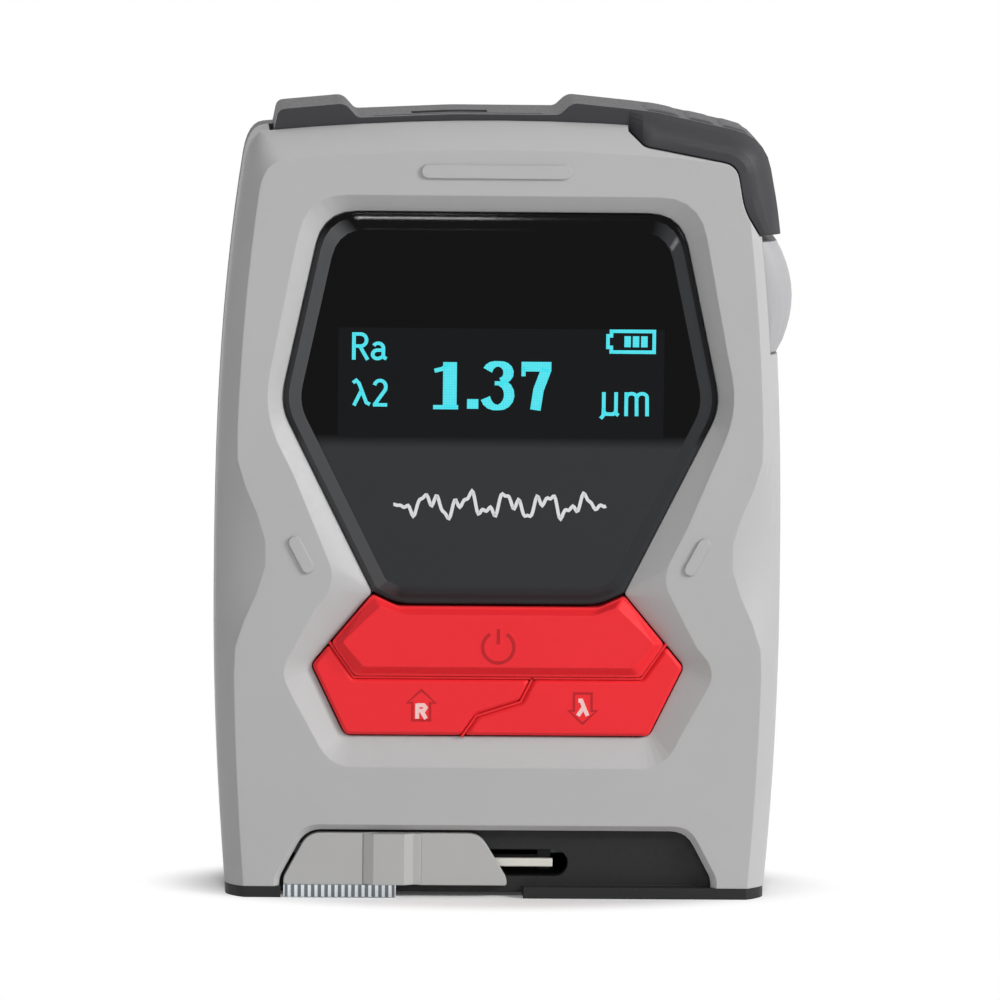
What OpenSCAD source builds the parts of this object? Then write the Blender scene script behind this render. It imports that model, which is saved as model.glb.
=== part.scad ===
// Hand-held surface roughness tester, standing on its measuring face.
// Millimetres, +Z up, front face towards -Y, origin in the measuring face below the middle of the body.

/* [Housing] */
// Width of the housing at its widest line
body_w = 70.4; // [69:0.2:76]
// Width of the housing at its lower edge
foot_w = 67.4; // [66:0.2:69]
// Width of the housing just below its upper corners
top_w = 64; // [63:0.2:66]
// Height of the housing's top edge on the centre line
housing_h = 96.9; // [96:0.1:104]
// Depth of the body from its front face to its back
body_d = 24; // [24:0.5:30]
// Height of the widest line
belly_z = 37; // [30:1:44]
// How late the sides turn in towards the top: 2 is an even bow
side_bow = 2.6; // [2:0.1:3]
// Height of the housing's lower edge above the measuring face
foot_lift = 1.4; // [1.2:0.1:1.8]
// Wall of the side and top of the housing
wall = 2; // [1.6:0.1:2.4]
// Wall of the front face
face_wall = 2; // [1.8:0.1:2.4]
// Wall of the back
back_wall = 2.2; // [1.8:0.1:3]
// Depth of the front housing, from the face to the parting line
front_d = 14; // [13.5:0.5:15]
// Rise of the arched top edge between its corners
top_arch = 1.5; // [0.5:0.1:2.5]
// Width of the arched top edge between its corners
top_flat = 59; // [56:0.5:60]
// Height taken by each upper corner
corner_drop = 5.4; // [4:0.2:8]
// Rounding of the back edges
rear_round = 4; // [2:0.5:5]

/* [Shoulder and grip] */
// Width of the sloped shoulder beside the front face
shoulder_w = 2.3; // [1.6:0.1:3]
// Height of the sloped shoulder above the front face
shoulder_h = 3.4; // [2.4:0.1:4]
// Depth of the shoulder behind the front face
shoulder_d = 4; // [3:0.2:5]
// Extra width of the shoulder at the waist of the finger grip
grip_bite = 4; // [2:0.2:4.6]
// Height of the finger grip's waist
grip_z = 43; // [40:0.5:46]
// Distance from the waist to each end of the finger grip
grip_reach = 13.5; // [10:0.5:16]
// Length of the raised bar above the display
bar_l = 18.5; // [12:0.5:24]
// Middle of the raised bar, from the centre line
bar_x = -0.9; // [-2:0.1:2]
// Height of the raised bar's front view
bar_w = 1.7; // [1:0.1:2]
// Distance of the raised bar's centre below the housing's top edge
bar_drop = 6.1; // [5.4:0.1:6.9]
// Length of the small slanted bars beside the waist
mark_l = 5; // [3:0.1:6]
// Width of the small slanted bars
mark_w = 1.5; // [1:0.1:2]
// Height that the raised bars stand proud of the face
bar_proud = 0.3; // [0.2:0.05:0.5]

/* [Display and keys] */
// Width of the display at its widest
display_w = 54.8; // [52:0.2:56]
// Width of the display at its top
display_top_w = 44.4; // [42:0.2:46]
// Distance of the display's top edge below the housing's top edge
display_drop = 11.2; // [10.4:0.1:12.9]
// Distance of the display's widest line below the housing's top edge
display_mid_drop = 35.3; // [32:0.1:39]
// Height of the display's lower edge
display_low_z = 36.7; // [36.4:0.1:37.2]
// Width of the opening at its waist, between display and keys
waist_w = 31.4; // [30:0.2:33]
// Height of the opening's waist
waist_z = 38.2; // [38:0.1:38.8]
// Width of the keypad at its widest
keypad_w = 46.6; // [45:0.2:48]
// Height of the keypad's widest line
keypad_mid_z = 29.1; // [28.6:0.1:30]
// Width of the keypad's lower edge
keypad_low_w = 38; // [36:0.2:39]
// Height of the keypad's lower edge
keypad_low_z = 20.2; // [19.6:0.1:20.8]
// Width of the sloped bezel round the display
bezel_display = 2.1; // [1.5:0.1:2.6]
// Width of the sloped bezel round the keypad
bezel_keypad = 3.8; // [3:0.1:4.2]
// Depth of the sloped bezel
bezel_d = 1.6; // [1.2:0.1:1.8]
// Width of the flat border round the lens's bevel
lens_border = 0.6; // [0.4:0.1:0.8]
// Width of the lens's bevelled rim
lens_bevel = 1.5; // [1:0.1:2.2]
// Distance of the lens's front behind the face
lens_set = 0.5; // [0.2:0.1:0.8]
// Straight edge of the lens below its bevel
lens_edge = 1; // [0.8:0.1:1.4]
// Width of the lit area of the display
oled_w = 40.6; // [36:0.2:42]
// Height of the lit area of the display
oled_h = 13.8; // [11:0.2:16]
// Distance of the lit area's centre below the housing's top edge
oled_drop = 32.4; // [30:0.1:35]
// Height that the power key stands proud of the face
power_proud = 0.3; // [0:0.1:0.5]
// Distance of the lower keys' front behind the face
key_set = 0.8; // [0.5:0.1:1.1]
// Travel of the front keys
key_travel = 0.5; // [0.3:0.1:0.6]
// Gap round each key
key_gap = 0.2; // [0.15:0.05:0.3]

/* [Side key] */
// Length of the side key
side_key_l = 13.8; // [12:0.2:16]
// Distance of the side key's upper end below the housing's top edge
side_key_drop = 14.7; // [14.5:0.1:16]
// Bulge of the side key beyond the housing's side
side_key_bulge = 2.4; // [1:0.1:2.6]
// Travel of the side key
side_key_travel = 0.8; // [0.5:0.1:1]

/* [Top bar] */
// Height of the raised top bars above the housing's top edge
crown_rise = 2.2; // [1.5:0.1:3]
// Height of the strip between the raised bars above the housing's top edge
strip_rise = 0.7; // [0.5:0.1:1]
// Left end of the left raised bar, from the centre line
crown_left = 28.7; // [28:0.1:29.4]
// Left end of the strip between the raised bars, from the centre line
strip_left = 18; // [16:0.5:22]
// Right end of the strip between the raised bars, from the centre line
strip_right = 7; // [4:0.5:9]

/* [Measuring foot and shutter] */
// Thickness of the foot's floor
floor_t = 2.4; // [2.2:0.1:3]
// Height of the foot's inner walls
tub_h = 10.5; // [9.5:0.1:11]
// Thickness of the foot's inner walls
tub_wall = 1.4; // [1.2:0.1:1.6]
// Lower width of the cut-out in the front face
cutout_low_w = 53.8; // [53.4:0.2:56]
// Upper width of the cut-out in the front face
cutout_top_w = 47.4; // [46.8:0.2:49]
// Height of the cut-out's upper edge
cutout_top_z = 8.5; // [8.4:0.1:9.2]
// Width of the chamfer round the cut-out
cutout_chamfer = 0.7; // [0.4:0.1:0.9]
// Left end of the shutter's lower edge, from the centre line
shutter_left = 26.4; // [26:0.1:26.6]
// Length of the shutter's lower edge
shutter_l = 27.8; // [26:0.2:29]
// Length of the shutter's upper edge
shutter_top_l = 21.4; // [20:0.2:22]
// Height of the shutter's upper edge
shutter_top_z = 8.1; // [7.8:0.1:8.3]
// Thickness of the shutter plate
shutter_t = 1.6; // [1.4:0.1:1.8]
// Depth of the shutter's finger groove
groove_d = 0.9; // [0.5:0.1:0.9]
// Travel of the shutter
shutter_travel = 15; // [12:0.5:16]
// Length of the ribbed sheet below the shutter
sheet_l = 14; // [13.9:0.1:14.6]
// Thickness of the ribbed sheet
sheet_t = 0.3; // [0.3:0.05:0.45]
// Number of ribs on the sheet's front edge
rib_count = 16; // [10:1:18]
// Height of the slot beside the shutter
slot_h = 3.4; // [3:0.1:3.8]
// Height of the slot's centre line
slot_z = 4.2; // [4.1:0.1:4.4]
// Height of the pale rail in the slot
rail_h = 1; // [0.8:0.1:1.1]
// Right end of the pale rail, from the centre line
rail_right = 7.2; // [4:0.2:8]

/* [Traverse drive] */
// Travel of the pickup along the surface
traverse = 6; // [4:0.5:6.5]
// Radius of the drive screw
screw_r = 1.5; // [1.3:0.1:1.8]
// Height of the drive screw's axis
screw_z = 8; // [7.8:0.1:8.4]
// Radius of the guide rods
rod_r = 1; // [0.8:0.1:1.2]
// Length of the carriage
carriage_l = 10; // [9:0.5:11]
// Thickness of the drive frame's end plates
plate_t = 1.6; // [1.2:0.1:2]
// Radius of the motor can
motor_r = 4; // [3.5:0.1:4.2]
// Length of the motor can
motor_l = 10; // [8:0.5:10.5]
// Length of the gearbox
gearbox_l = 6.4; // [5:0.2:6.6]
// Distance from the pickup's pivot to its stylus
pickup_reach = 15; // [14.4:0.1:15.4]
// Radius of the pickup's pivot pin
pivot_r = 0.8; // [0.6:0.05:1]
// Rest height of the stylus tip above the measuring face
tip_z = 2.15; // [2:0.05:2.4]

/* [Electronics and fasteners] */
// Thickness of the circuit board
board_t = 1.2; // [1:0.1:1.6]
// Width of the circuit board
board_w = 48; // [46:0.5:49]
// Width of the battery
battery_w = 38; // [30:1:42]
// Height of the battery
battery_h = 50; // [40:1:54]
// Thickness of the battery
battery_d = 6; // [4:0.5:7]
// Width of the charging socket
usb_w = 9; // [8.4:0.1:9.6]
// Depth of the charging socket's shell
usb_d = 3.2; // [3:0.1:3.6]
// Radius of the housing screws' bosses
boss_r = 2.6; // [2.2:0.1:2.8]
// Radius of the housing screws
housing_screw_r = 0.95; // [0.8:0.05:1.2]
// Radius of the small screws
small_screw_r = 0.8; // [0.6:0.05:0.9]

/* [Hidden] */
$fn = 48;

// Clearances: between fixed pieces, between sliding pieces, and of a bore round its shaft
fit_gap = 0.2;
slide_gap = 0.2;
bore_gap = 0.05;
seat_gap = 0.02;
// Overshoot of a cut past the face that it opens
cut = 1;

// Depths of the main planes
y_front = -body_d / 2;
y_back = body_d / 2;
y_part = y_front + front_d;
corner_z = housing_h - corner_drop;

// Heights of what hangs from the top edge
bar_z = housing_h - bar_drop;
display_top_z = housing_h - display_drop;
display_mid_z = housing_h - display_mid_drop;
oled_z = housing_h - oled_drop;
side_key_high = housing_h - side_key_drop;
side_key_low = side_key_high - side_key_l;

// Steps along the sides, corners, top, shoulder and back edges of the housing's outline
side_n = 26;
corner_n = 6;
top_n = 5;
shoulder_n = 6;
round_n = 5;

// Point on the way from a to b, corner curve through a control point, and a direction
function mix(a, b, t) = a + (b - a) * t;
function bend(a, b, c, n) = [for (i = [0:n]) mix(mix(a, b, i / n), mix(b, c, i / n), i / n)];
function unit(v) = v / norm(v);

// Corner b of a line a-b-c, rounded over a length r on both sides
function soft_corner(a, b, c, r, n) = bend(b + unit(a - b) * r, b, b + unit(c - b) * r, n);
function soft_loop(points, trims, n = 5) =
    let (m = len(points))
    [for (i = [0:m - 1])
        each soft_corner(points[(i + m - 1) % m], points[i], points[(i + 1) % m], trims[i], n)];
function soft_path(points, trims, n = 5) =
    let (m = len(points))
    concat([points[0]],
        [for (i = [1:m - 2]) each soft_corner(points[i - 1], points[i], points[i + 1], trims[i - 1], n)],
        [points[m - 1]]);

// Outline moved inwards by d; the points run anticlockwise
function inward(a, b) = [a[1] - b[1], b[0] - a[0]] / norm(b - a);
function inset(points, d) =
    let (m = len(points))
    [for (i = [0:m - 1])
        let (before = inward(points[(i + m - 1) % m], points[i]),
            after = inward(points[i], points[(i + 1) % m]))
        points[i] + (before + after) * d / (1 + before * after)];

// Whole outline and trims from those of the right half, listed from the bottom to the top
function backwards(list) = [for (i = [len(list) - 1:-1:0]) list[i]];
function both_sides(half) = concat(half, backwards([for (p = half) [-p[0], p[1]]]));
function both_trims(half) = concat(half, backwards(half));

// Outline in the plane of the front face, at a depth
function at_depth(loop, y) = [for (p = loop) [p[0], y, p[1]]];

// Straight-sided solid with an outline in the plane of the front face
module slab(outline, y0, y1) {
    translate([0, y1, 0]) rotate([90, 0, 0]) linear_extrude(height = y1 - y0) polygon(outline);
}

// Triangles of a flat outline, given by the places of its points, cut off ear by ear
function facing(points, ids) =
    let (m = len(ids), sums = [for (i = 0, v = [0, 0, 0]; i <= m;
        v = i < m ? v + cross(points[ids[i]], points[ids[(i + 1) % m]]) : v, i = i + 1) v])
    unit(sums[m]);
function turn(a, b, c, up) = cross(b - a, c - a) * up;
function is_ear(points, ids, i, up) =
    let (m = len(ids), before = ids[(i + m - 1) % m], after = ids[(i + 1) % m],
        a = points[before], b = points[ids[i]], c = points[after])
    turn(a, b, c, up) > 0 && len([for (k = ids)
        if (k != before && k != ids[i] && k != after && turn(a, b, points[k], up) >= 0
            && turn(b, c, points[k], up) >= 0 && turn(c, a, points[k], up) >= 0) k]) == 0;
function next_ear(points, ids, up, i = 0) =
    i == len(ids) - 1 || is_ear(points, ids, i, up) ? i : next_ear(points, ids, up, i + 1);
function cut_ears(points, ids, up) =
    let (m = len(ids), i = next_ear(points, ids, up))
    m == 3 ? [ids] : concat([[ids[(i + m - 1) % m], ids[i], ids[(i + 1) % m]]],
        cut_ears(points, [for (k = [0:m - 1]) if (k != i) ids[k]], up));
function ears(points, ids) = cut_ears(points, ids, facing(points, ids));

// Smooth solid through a row of outlines with equal numbers of points
module skin(rings) {
    n = len(rings[0]);
    last = len(rings) - 1;
    sides = [for (k = [0:last - 1], i = [0:n - 1])
        let (a = k * n + i, b = k * n + (i + 1) % n)
        each [[a, b, b + n], [a, b + n, a + n]]];
    points = [for (ring = rings) each ring];
    first_cap = [for (i = [n - 1:-1:0]) i];
    last_cap = [for (i = [0:n - 1]) last * n + i];
    polyhedron(points = points,
        faces = concat(ears(points, first_cap), sides, ears(points, last_cap)));
}

// Upright and lying cylinders
module rod_x(r, x0, x1, y, z) {
    translate([x0, y, z]) rotate([0, 90, 0]) cylinder(r = r, h = x1 - x0);
}
module rod_y(r, x, y0, y1, z) {
    translate([x, y1, z]) rotate([90, 0, 0]) cylinder(r = r, h = y1 - y0);
}
module block(low, high) {
    translate(low) cube(high - low);
}

// Pill-shaped outline of length l and width w, turned by an angle about its centre
function pill(l, w, centre, angle = 0, n = 8) =
    [for (end = [0, 180], i = [0:n])
        let (a = end - 90 + 180 * i / n,
            x = (end == 0 ? 1 : -1) * (l - w) / 2 + w / 2 * cos(a),
            z = w / 2 * sin(a))
        centre + [x * cos(angle) - z * sin(angle), x * sin(angle) + z * cos(angle)]];

// Housing outline: bowed sides, arched top, and a shoulder that widens at the finger grips
function side_x(z) = body_w / 2 - (z < belly_z
    ? (body_w - foot_w) / 2 * pow((belly_z - z) / (belly_z - foot_lift), 2)
    : (body_w - top_w) / 2 * pow((z - belly_z) / (corner_z - belly_z), side_bow));
function top_z(x) = housing_h - top_arch * pow(2 * x / top_flat, 2);
function grip(z) = abs(z - grip_z) > grip_reach ? 0 : pow(cos(90 * (z - grip_z) / grip_reach), 2);
function side_cut(z) = shoulder_w + grip_bite * grip(z);

// Right half of the outline: out is 0 on the edge of the front face and 1 on the silhouette
function ring_half(out, wall_in, low) =
    let (drop = shoulder_h * (1 - out) + wall_in,
        side_top = corner_z - drop,
        side = [for (i = [0:side_n])
            let (z = mix(low, side_top, i / side_n))
            [side_x(z) - side_cut(z) * (1 - out) - wall_in, z]],
        s = side[side_n],
        t = [top_flat / 2 - shoulder_w * (1 - out) - wall_in, top_z(top_flat / 2) - drop],
        lean = -side_bow / 2 * (body_w - top_w) / (corner_z - belly_z),
        fall = -4 * top_arch / top_flat,
        run = (s[0] - t[0] + lean * (t[1] - s[1])) / (1 - lean * fall),
        corner = bend(s, t + run * [1, fall], t, corner_n))
    concat(side, [for (i = [1:corner_n]) corner[i]],
        [for (i = [1:top_n - 1]) let (x = t[0] * (1 - i / top_n)) [x, top_z(x) - drop]]);
function ring(out, wall_in, low) =
    let (half = ring_half(out, wall_in, low), top = housing_h - shoulder_h * (1 - out) - wall_in)
    concat(half, [[0, top]], backwards([for (p = half) [-p[0], p[1]]]));

// Shoulder: how far out the outline is, a share s of the shoulder's depth behind the face
function shoulder_out(s) = 1 - pow(1 - s, 2);

// Opening for display and keys, and the outer edge of its sloped bezel
opening_half = [[keypad_low_w / 2, keypad_low_z], [keypad_w / 2, keypad_mid_z], [waist_w / 2, waist_z],
    [display_w / 2, display_mid_z], [display_top_w / 2, display_top_z]];
opening_trims = both_trims([1, 0.8, 0.4, 2.6, 4.2]);
opening = both_sides(opening_half);
waist_bezel = 4.5;
bezel_half = [[keypad_low_w / 2 + bezel_keypad * 0.45, keypad_low_z - bezel_keypad],
    [keypad_w / 2 + bezel_keypad, keypad_mid_z - 0.8],
    [waist_w / 2 + waist_bezel, waist_z + 1.8],
    [display_w / 2 + bezel_display, display_mid_z - 0.4],
    [display_top_w / 2 + bezel_display, display_top_z + bezel_display]];
bezel_trims = both_trims([3, 2, 2.4, 4.5, 5]);
bezel = both_sides(bezel_half);

// Depths behind the face, from the bezel to the circuit board
y_bezel = y_front + bezel_d;
y_seat = y_bezel + lens_edge;
rim_d = 1.8;
y_rim = y_front + face_wall + rim_d;
oled_t = 1.6;
holder_t = 1.6;
y_oled = y_rim + oled_t;
y_board = y_oled + holder_t;
tab_t = 0.9;
tab_gap = 0.1;
y_key_back = y_rim + tab_gap + tab_t;
switch_h = 1.3;
y_stem = y_board - switch_h - key_travel - 0.15;

// Lens outline: the upper part of the opening, with its lower edge curved up to the waist
lens_low_w = 25;
lens_half = [[lens_low_w / 2, display_low_z], [waist_w / 2, waist_z], [display_w / 2, display_mid_z],
    [display_top_w / 2, display_top_z]];
lens_trims = both_trims([1.6, 0.4, 2.6, 4.2]);
lens_gap = 0.12;
lens_pocket = both_sides(lens_half);

// Key zones: the power key above, the two lower keys parted by a stepped line
power_low_z = 27.6;
power_low_w = 35.8;
power_side = mix([waist_w / 2, waist_z], [keypad_w / 2, keypad_mid_z], 0.69);
power_half = [[power_low_w / 2, power_low_z], power_side, [waist_w / 2, waist_z],
    [lens_low_w / 2, display_low_z]];
power_zone = both_sides(power_half);
power_mid_z = (power_low_z + waist_z) / 2;
power_taper = [0.94, 0.76];
power_trims = both_trims([0.5, 0.5, 0.4, 0.6]);
step_line = [[-4.4, keypad_low_z], [-2.6, keypad_low_z + 2.6], [2.9, keypad_low_z + 4.4], [4.4, power_low_z]];
parameter_zone = concat([[-keypad_low_w / 2, keypad_low_z]], step_line,
    [[-power_low_w / 2, power_low_z], [-power_side[0], power_side[1]], [-keypad_w / 2, keypad_mid_z]]);
cutoff_zone = concat([[keypad_low_w / 2, keypad_low_z], [keypad_w / 2, keypad_mid_z], power_side,
    [power_low_w / 2, power_low_z]], backwards(step_line));
lower_trims = [0.6, 0.5, 0.5, 0.5, 0.5, 0.5, 0.5, 0.5];
key_edge = 0.35;
stem_r = 1.3;
power_stem = [0, 32];
lower_stem = [12.5, 24];

// Screw places
upper_boss = [25.5, housing_h - 8.9];
lower_boss = [foot_w / 2 - 6.3, tub_h + 3.5];
board_boss_r = 1.5;
board_edge = 1.5;
board_bosses = [[16, housing_h - 8.6], [board_w / 2 - board_edge, keypad_low_z + 1.3]];
head_h = 1.6;
head_r = 2;
small_head_r = 1.6;
small_head_h = 1;
y_head = y_back - 4.8;

// Circuit board, its chips as middle, width and height, and the socket's place
usb_x = 6.5;
chip_t = 1.2;
chips = [[0, 58, 12, 12], [-14, 44, 8, 6], [13, 46, 6, 9]];
board_top = housing_h - 6.9;
board_low = keypad_low_z - 0.7;
board_neck_z = housing_h - 13.5;
board_neck_w = 38;
y_board_back = y_board + board_t;

// Top bar and the dark corner that wraps round to the front
y_crown = y_front + shoulder_d;
crown_back = y_back - 3.5;
crown_h = housing_h + crown_rise;
strip_h = housing_h + strip_rise;
wrap_left = 15.6;
wrap_low = side_key_high + 0.9;
wrap_out = 1.5;
wrap_top = [18.7, housing_h + 1.2];
wrap_corner = [top_w / 2 + 0.6, housing_h - 1.8];
wrap_side = [side_x(corner_z - 5) + wrap_out, corner_z - 5];
wrap_end = [side_x(wrap_low) + wrap_out, wrap_low];
wrap_in_side = top_w / 2 - 2;
wrap_in_end = side_x(wrap_low) - 0.5 * shoulder_w;
wrap_inner = soft_path([[wrap_left, y_crown, housing_h - 1], [wrap_left + 2, y_front + 1.7, corner_z + 2.5],
    [wrap_in_side - 1, y_front + 0.7, corner_z + 0.4], [wrap_in_side, y_front + 0.8, corner_z - 5.2],
    [wrap_in_end, y_front + 1.6, wrap_low]], [0.6, 1.6, 1.6]);
wrap_outer = soft_path([[wrap_left, housing_h + 1.5], wrap_top, wrap_corner, wrap_side, wrap_end],
    [1.4, 4, 1.6]);

// Side key
side_key_front = y_front + 1.6;
side_key_back = y_part - fit_gap;
side_seat = side_x(side_key_high) - 4;
side_flange_t = 1;
side_flange = 1.2;
key_frame = 2.2;

// Measuring foot
tub_half = foot_w / 2 - wall - 2.2;
y_tub = y_front + face_wall + 0.1;
y_tub_back = y_back - back_wall - 0.9;
y_tub_inner = y_tub + tub_wall + 0.1;
ear_t = 2;
y_ear = y_part - ear_t / 2;
base_set = 0.1;

// Shutter and its window
y_shutter = y_tub - slide_gap - shutter_t;
shutter_low_z = foot_lift + slide_gap;
shutter_edge = 0.9;
shutter_slant = 3;
sheet_low = 0.1;
sheet_gap = 0.12;
shutter_foot_z = sheet_low + sheet_t;
boss_l = 4;
boss_left = -10.2;
slot_left = boss_left - 0.3;
slot_right = boss_left + boss_l + shutter_travel + 0.3;
window_left = -shutter_left + 0.8;
window_right = slot_left - 2.1;
window_top = 6.6;
window_back = y_front + 8.6;
shoe_t = 0.9;
y_shoe = y_tub_inner + slide_gap;
y_rail = y_tub + 0.4;
rail_t = 0.7;
rail_left = window_right + 0.4;
channel_left = -shutter_left - 0.35;
channel_right = -shutter_left + sheet_l + shutter_travel + 0.9;

// Traverse drive
screw_set = 14.2;
screw_y = y_front + screw_set;
rod_spread = 3.4;
rod_z = screw_z + 4.2;
carriage_left = -11;
carriage_right = carriage_left + carriage_l;
frame_left = carriage_left - 0.6;
frame_right = carriage_right + traverse + 0.6;
frame_front = screw_y - 5.2;
frame_back = screw_y + 5;
frame_top = rod_z + 2.8;
frame_floor_t = 1.6;
carriage_front = screw_y - 5.6;
bush_r = 2;
flange_r = 2.6;
journal_r = 1.2;
nut_r = 2.6;
frame_screw_r = 0.9;
frame_screws = [carriage_left + 2, carriage_left + 14];

// Pickup
pivot = [-8, 8];
pickup_back = carriage_front - 0.3;
pickup_front = pickup_back - 3;
pickup_mid = (pickup_back + pickup_front) / 2;
hub_r = 1.9;
head_low = tip_z + 2.05;
tip_x = pivot[0] - pickup_reach;
skid_x = tip_x + 1.8;
skid_r = 0.75;
stylus_r = 0.5;
socket_d = 0.8;

// Light grey front shell
module front_form() {
    shoulder = [for (i = [0:shoulder_n])
        let (s = i / shoulder_n)
        at_depth(ring(shoulder_out(s), 0, foot_lift), y_front + shoulder_d * s)];
    skin(concat(shoulder, [at_depth(ring(1, 0, foot_lift), y_part)]));
}

module front_cavity() {
    face_in = 1.2;
    slab(ring(0, face_in, -cut), y_front + face_wall, y_part + cut);
    slab(ring(1, wall, -cut), y_front + shoulder_d, y_part + cut);
}

// Rim behind the bezel, bosses and the frame round the side key
module front_ribs() {
    slab(soft_loop(inset(bezel, -0.6), bezel_trims), y_front + face_wall - 0.5, y_rim - 0.1);
    for (side = [-1, 1]) {
        rod_y(boss_r, side * upper_boss[0], y_front + face_wall - 0.5, y_part, upper_boss[1]);
        rod_y(boss_r, side * lower_boss[0], y_front + face_wall - 0.5, y_ear, lower_boss[1]);
        for (place = board_bosses)
            rod_y(board_boss_r, side * place[0], y_front + face_wall - 0.5, y_board, place[1]);
    }
    key_frame_x = side_x(side_key_high) - 0.6;
    translate([0, 0, side_key_low - key_frame]) linear_extrude(height = side_key_l + key_frame + 0.7)
        polygon([[side_seat, y_front + face_wall - 0.5],
            [key_frame_x - shoulder_w, y_front + face_wall - 0.5],
            [key_frame_x, y_front + shoulder_d], [key_frame_x, y_part], [side_seat, y_part]]);
}

// Sloped bezel and the straight opening behind it
module front_opening() {
    flare = 1 + 0.4 / bezel_d;
    outer = soft_loop(bezel, bezel_trims);
    inner = soft_loop(opening, opening_trims);
    wide = [for (i = [0:len(inner) - 1]) mix(inner[i], outer[i], flare)];
    skin([at_depth(wide, y_front - 0.4), at_depth(inner, y_bezel), at_depth(inner, y_rim + cut)]);
}

// Ledge that carries the lens, with the window for the lit area; its edges reach into the rim
module lens_ledge() {
    grip_in = 0.6;
    half = [[lens_low_w / 2, display_low_z], [waist_w / 2 + grip_in, waist_z + 0.3],
        [display_w / 2 + grip_in, display_mid_z], [display_top_w / 2 + grip_in, display_top_z + grip_in]];
    difference() {
        slab(soft_loop(both_sides(half), both_trims([1.4, 0.3, 2.6, 4])), y_seat, y_rim);
        block([-oled_w / 2, y_seat - cut, oled_z - oled_h / 2],
            [oled_w / 2, y_rim + cut, oled_z + oled_h / 2]);
    }
}

// Room for the top bar, the dark corner, the side key and the shutter
module front_reliefs() {
    far = body_w;
    edge = [for (p = wrap_inner) [p[0] - fit_gap * 0.7, p[2] - fit_gap * 0.7]];
    slab(concat(edge, [[far, wrap_low - fit_gap], [far, far * 2], [edge[0][0], far * 2]]),
        y_front - cut, y_part + cut);
    block([-crown_left - fit_gap, y_crown - fit_gap, corner_z], [far, y_part + cut, far * 2]);
    block([side_seat - cut, side_key_front - fit_gap, side_key_low - fit_gap],
        [far, y_part + cut, wrap_low]);
    cutout = both_sides([[cutout_low_w / 2, -cut], [cutout_low_w / 2, shutter_low_z + shutter_edge],
        [cutout_top_w / 2, cutout_top_z]]);
    trims = both_trims([0.4, 0.8, 2]);
    throat = soft_loop(cutout, trims);
    mouth = soft_loop(inset(cutout, -cutout_chamfer - cut), trims);
    skin([at_depth(mouth, y_front - cut), at_depth(throat, y_front + cutout_chamfer),
        at_depth(throat, y_tub - 0.05)]);
}

module front_housing() {
    pilot_d = 9;
    color("#AFAFAF") difference() {
        union() {
            difference() {
                union() {
                    difference() {
                        front_form();
                        front_cavity();
                    }
                    front_ribs();
                    slab(pill(bar_l, bar_w, [bar_x, bar_z]), y_front - bar_proud, y_front + face_wall / 2);
                    for (side = [-1, 1])
                        slab(pill(mark_l, mark_w, [side * (waist_w / 2 + 8.9), grip_z], -side * 118),
                            y_front - bar_proud, y_front + face_wall / 2);
                }
                front_opening();
            }
            lens_ledge();
        }
        front_reliefs();
        for (side = [-1, 1]) {
            for (place = [upper_boss, lower_boss])
                rod_y(housing_screw_r + bore_gap, side * place[0], y_part - pilot_d, y_part + cut, place[1]);
            for (place = board_bosses)
                rod_y(small_screw_r + bore_gap, side * place[0], y_board - 3.4, y_board + cut, place[1]);
        }
    }
}

// Dark rear shell
module rear_form() {
    edge = [for (i = [0:round_n])
        let (a = 90 * i / round_n)
        at_depth(ring(1, rear_round * (1 - cos(a)), foot_lift), y_back - rear_round * (1 - sin(a)))];
    skin(concat([at_depth(ring(1, 0, foot_lift), y_part)], edge));
}

// Top bar with two raised ends, seen above the front housing
module crown() {
    left_lift = 1.1;
    slope = 1.6;
    upper = soft_path([[-crown_left, top_z(crown_left) - wall], [-crown_left + 0.9, crown_h - left_lift],
        [-strip_left - slope, crown_h - 0.3], [-strip_left, top_z(strip_left) + strip_rise],
        [-strip_left / 3, strip_h], [strip_right, strip_h], [strip_right + slope, crown_h],
        wrap_top, wrap_corner, wrap_side, wrap_end], [0.8, 0.8, 0.5, 1, 0.5, 0.8, 2, 4, 1.6]);
    right = top_flat / 2 - wall;
    lower = concat([[wrap_in_end + 0.1, wrap_low], [wrap_in_side + 0.1, corner_z - 5.2]],
        [for (i = [0:8]) let (x = mix(right, -crown_left, i / 8)) [x, top_z(x) - wall]]);
    slab(backwards(concat(upper, lower)), y_crown, crown_back);
}

// Dark corner: sections from its grey edge on the face over a rounded front to the outside
module wrap() {
    skin([for (i = [0:len(wrap_inner) - 1])
        let (a = wrap_inner[i],
            b = [wrap_outer[i][0], y_crown, wrap_outer[i][1]],
            knee = [mix(a[0], b[0], 0.7), a[1], mix(a[2], b[2], 0.7)])
        concat(bend(a, knee, b, 5), [[b[0], y_part + 0.5, b[2]], [a[0], y_part + 0.5, a[2]]])]);
}

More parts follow.
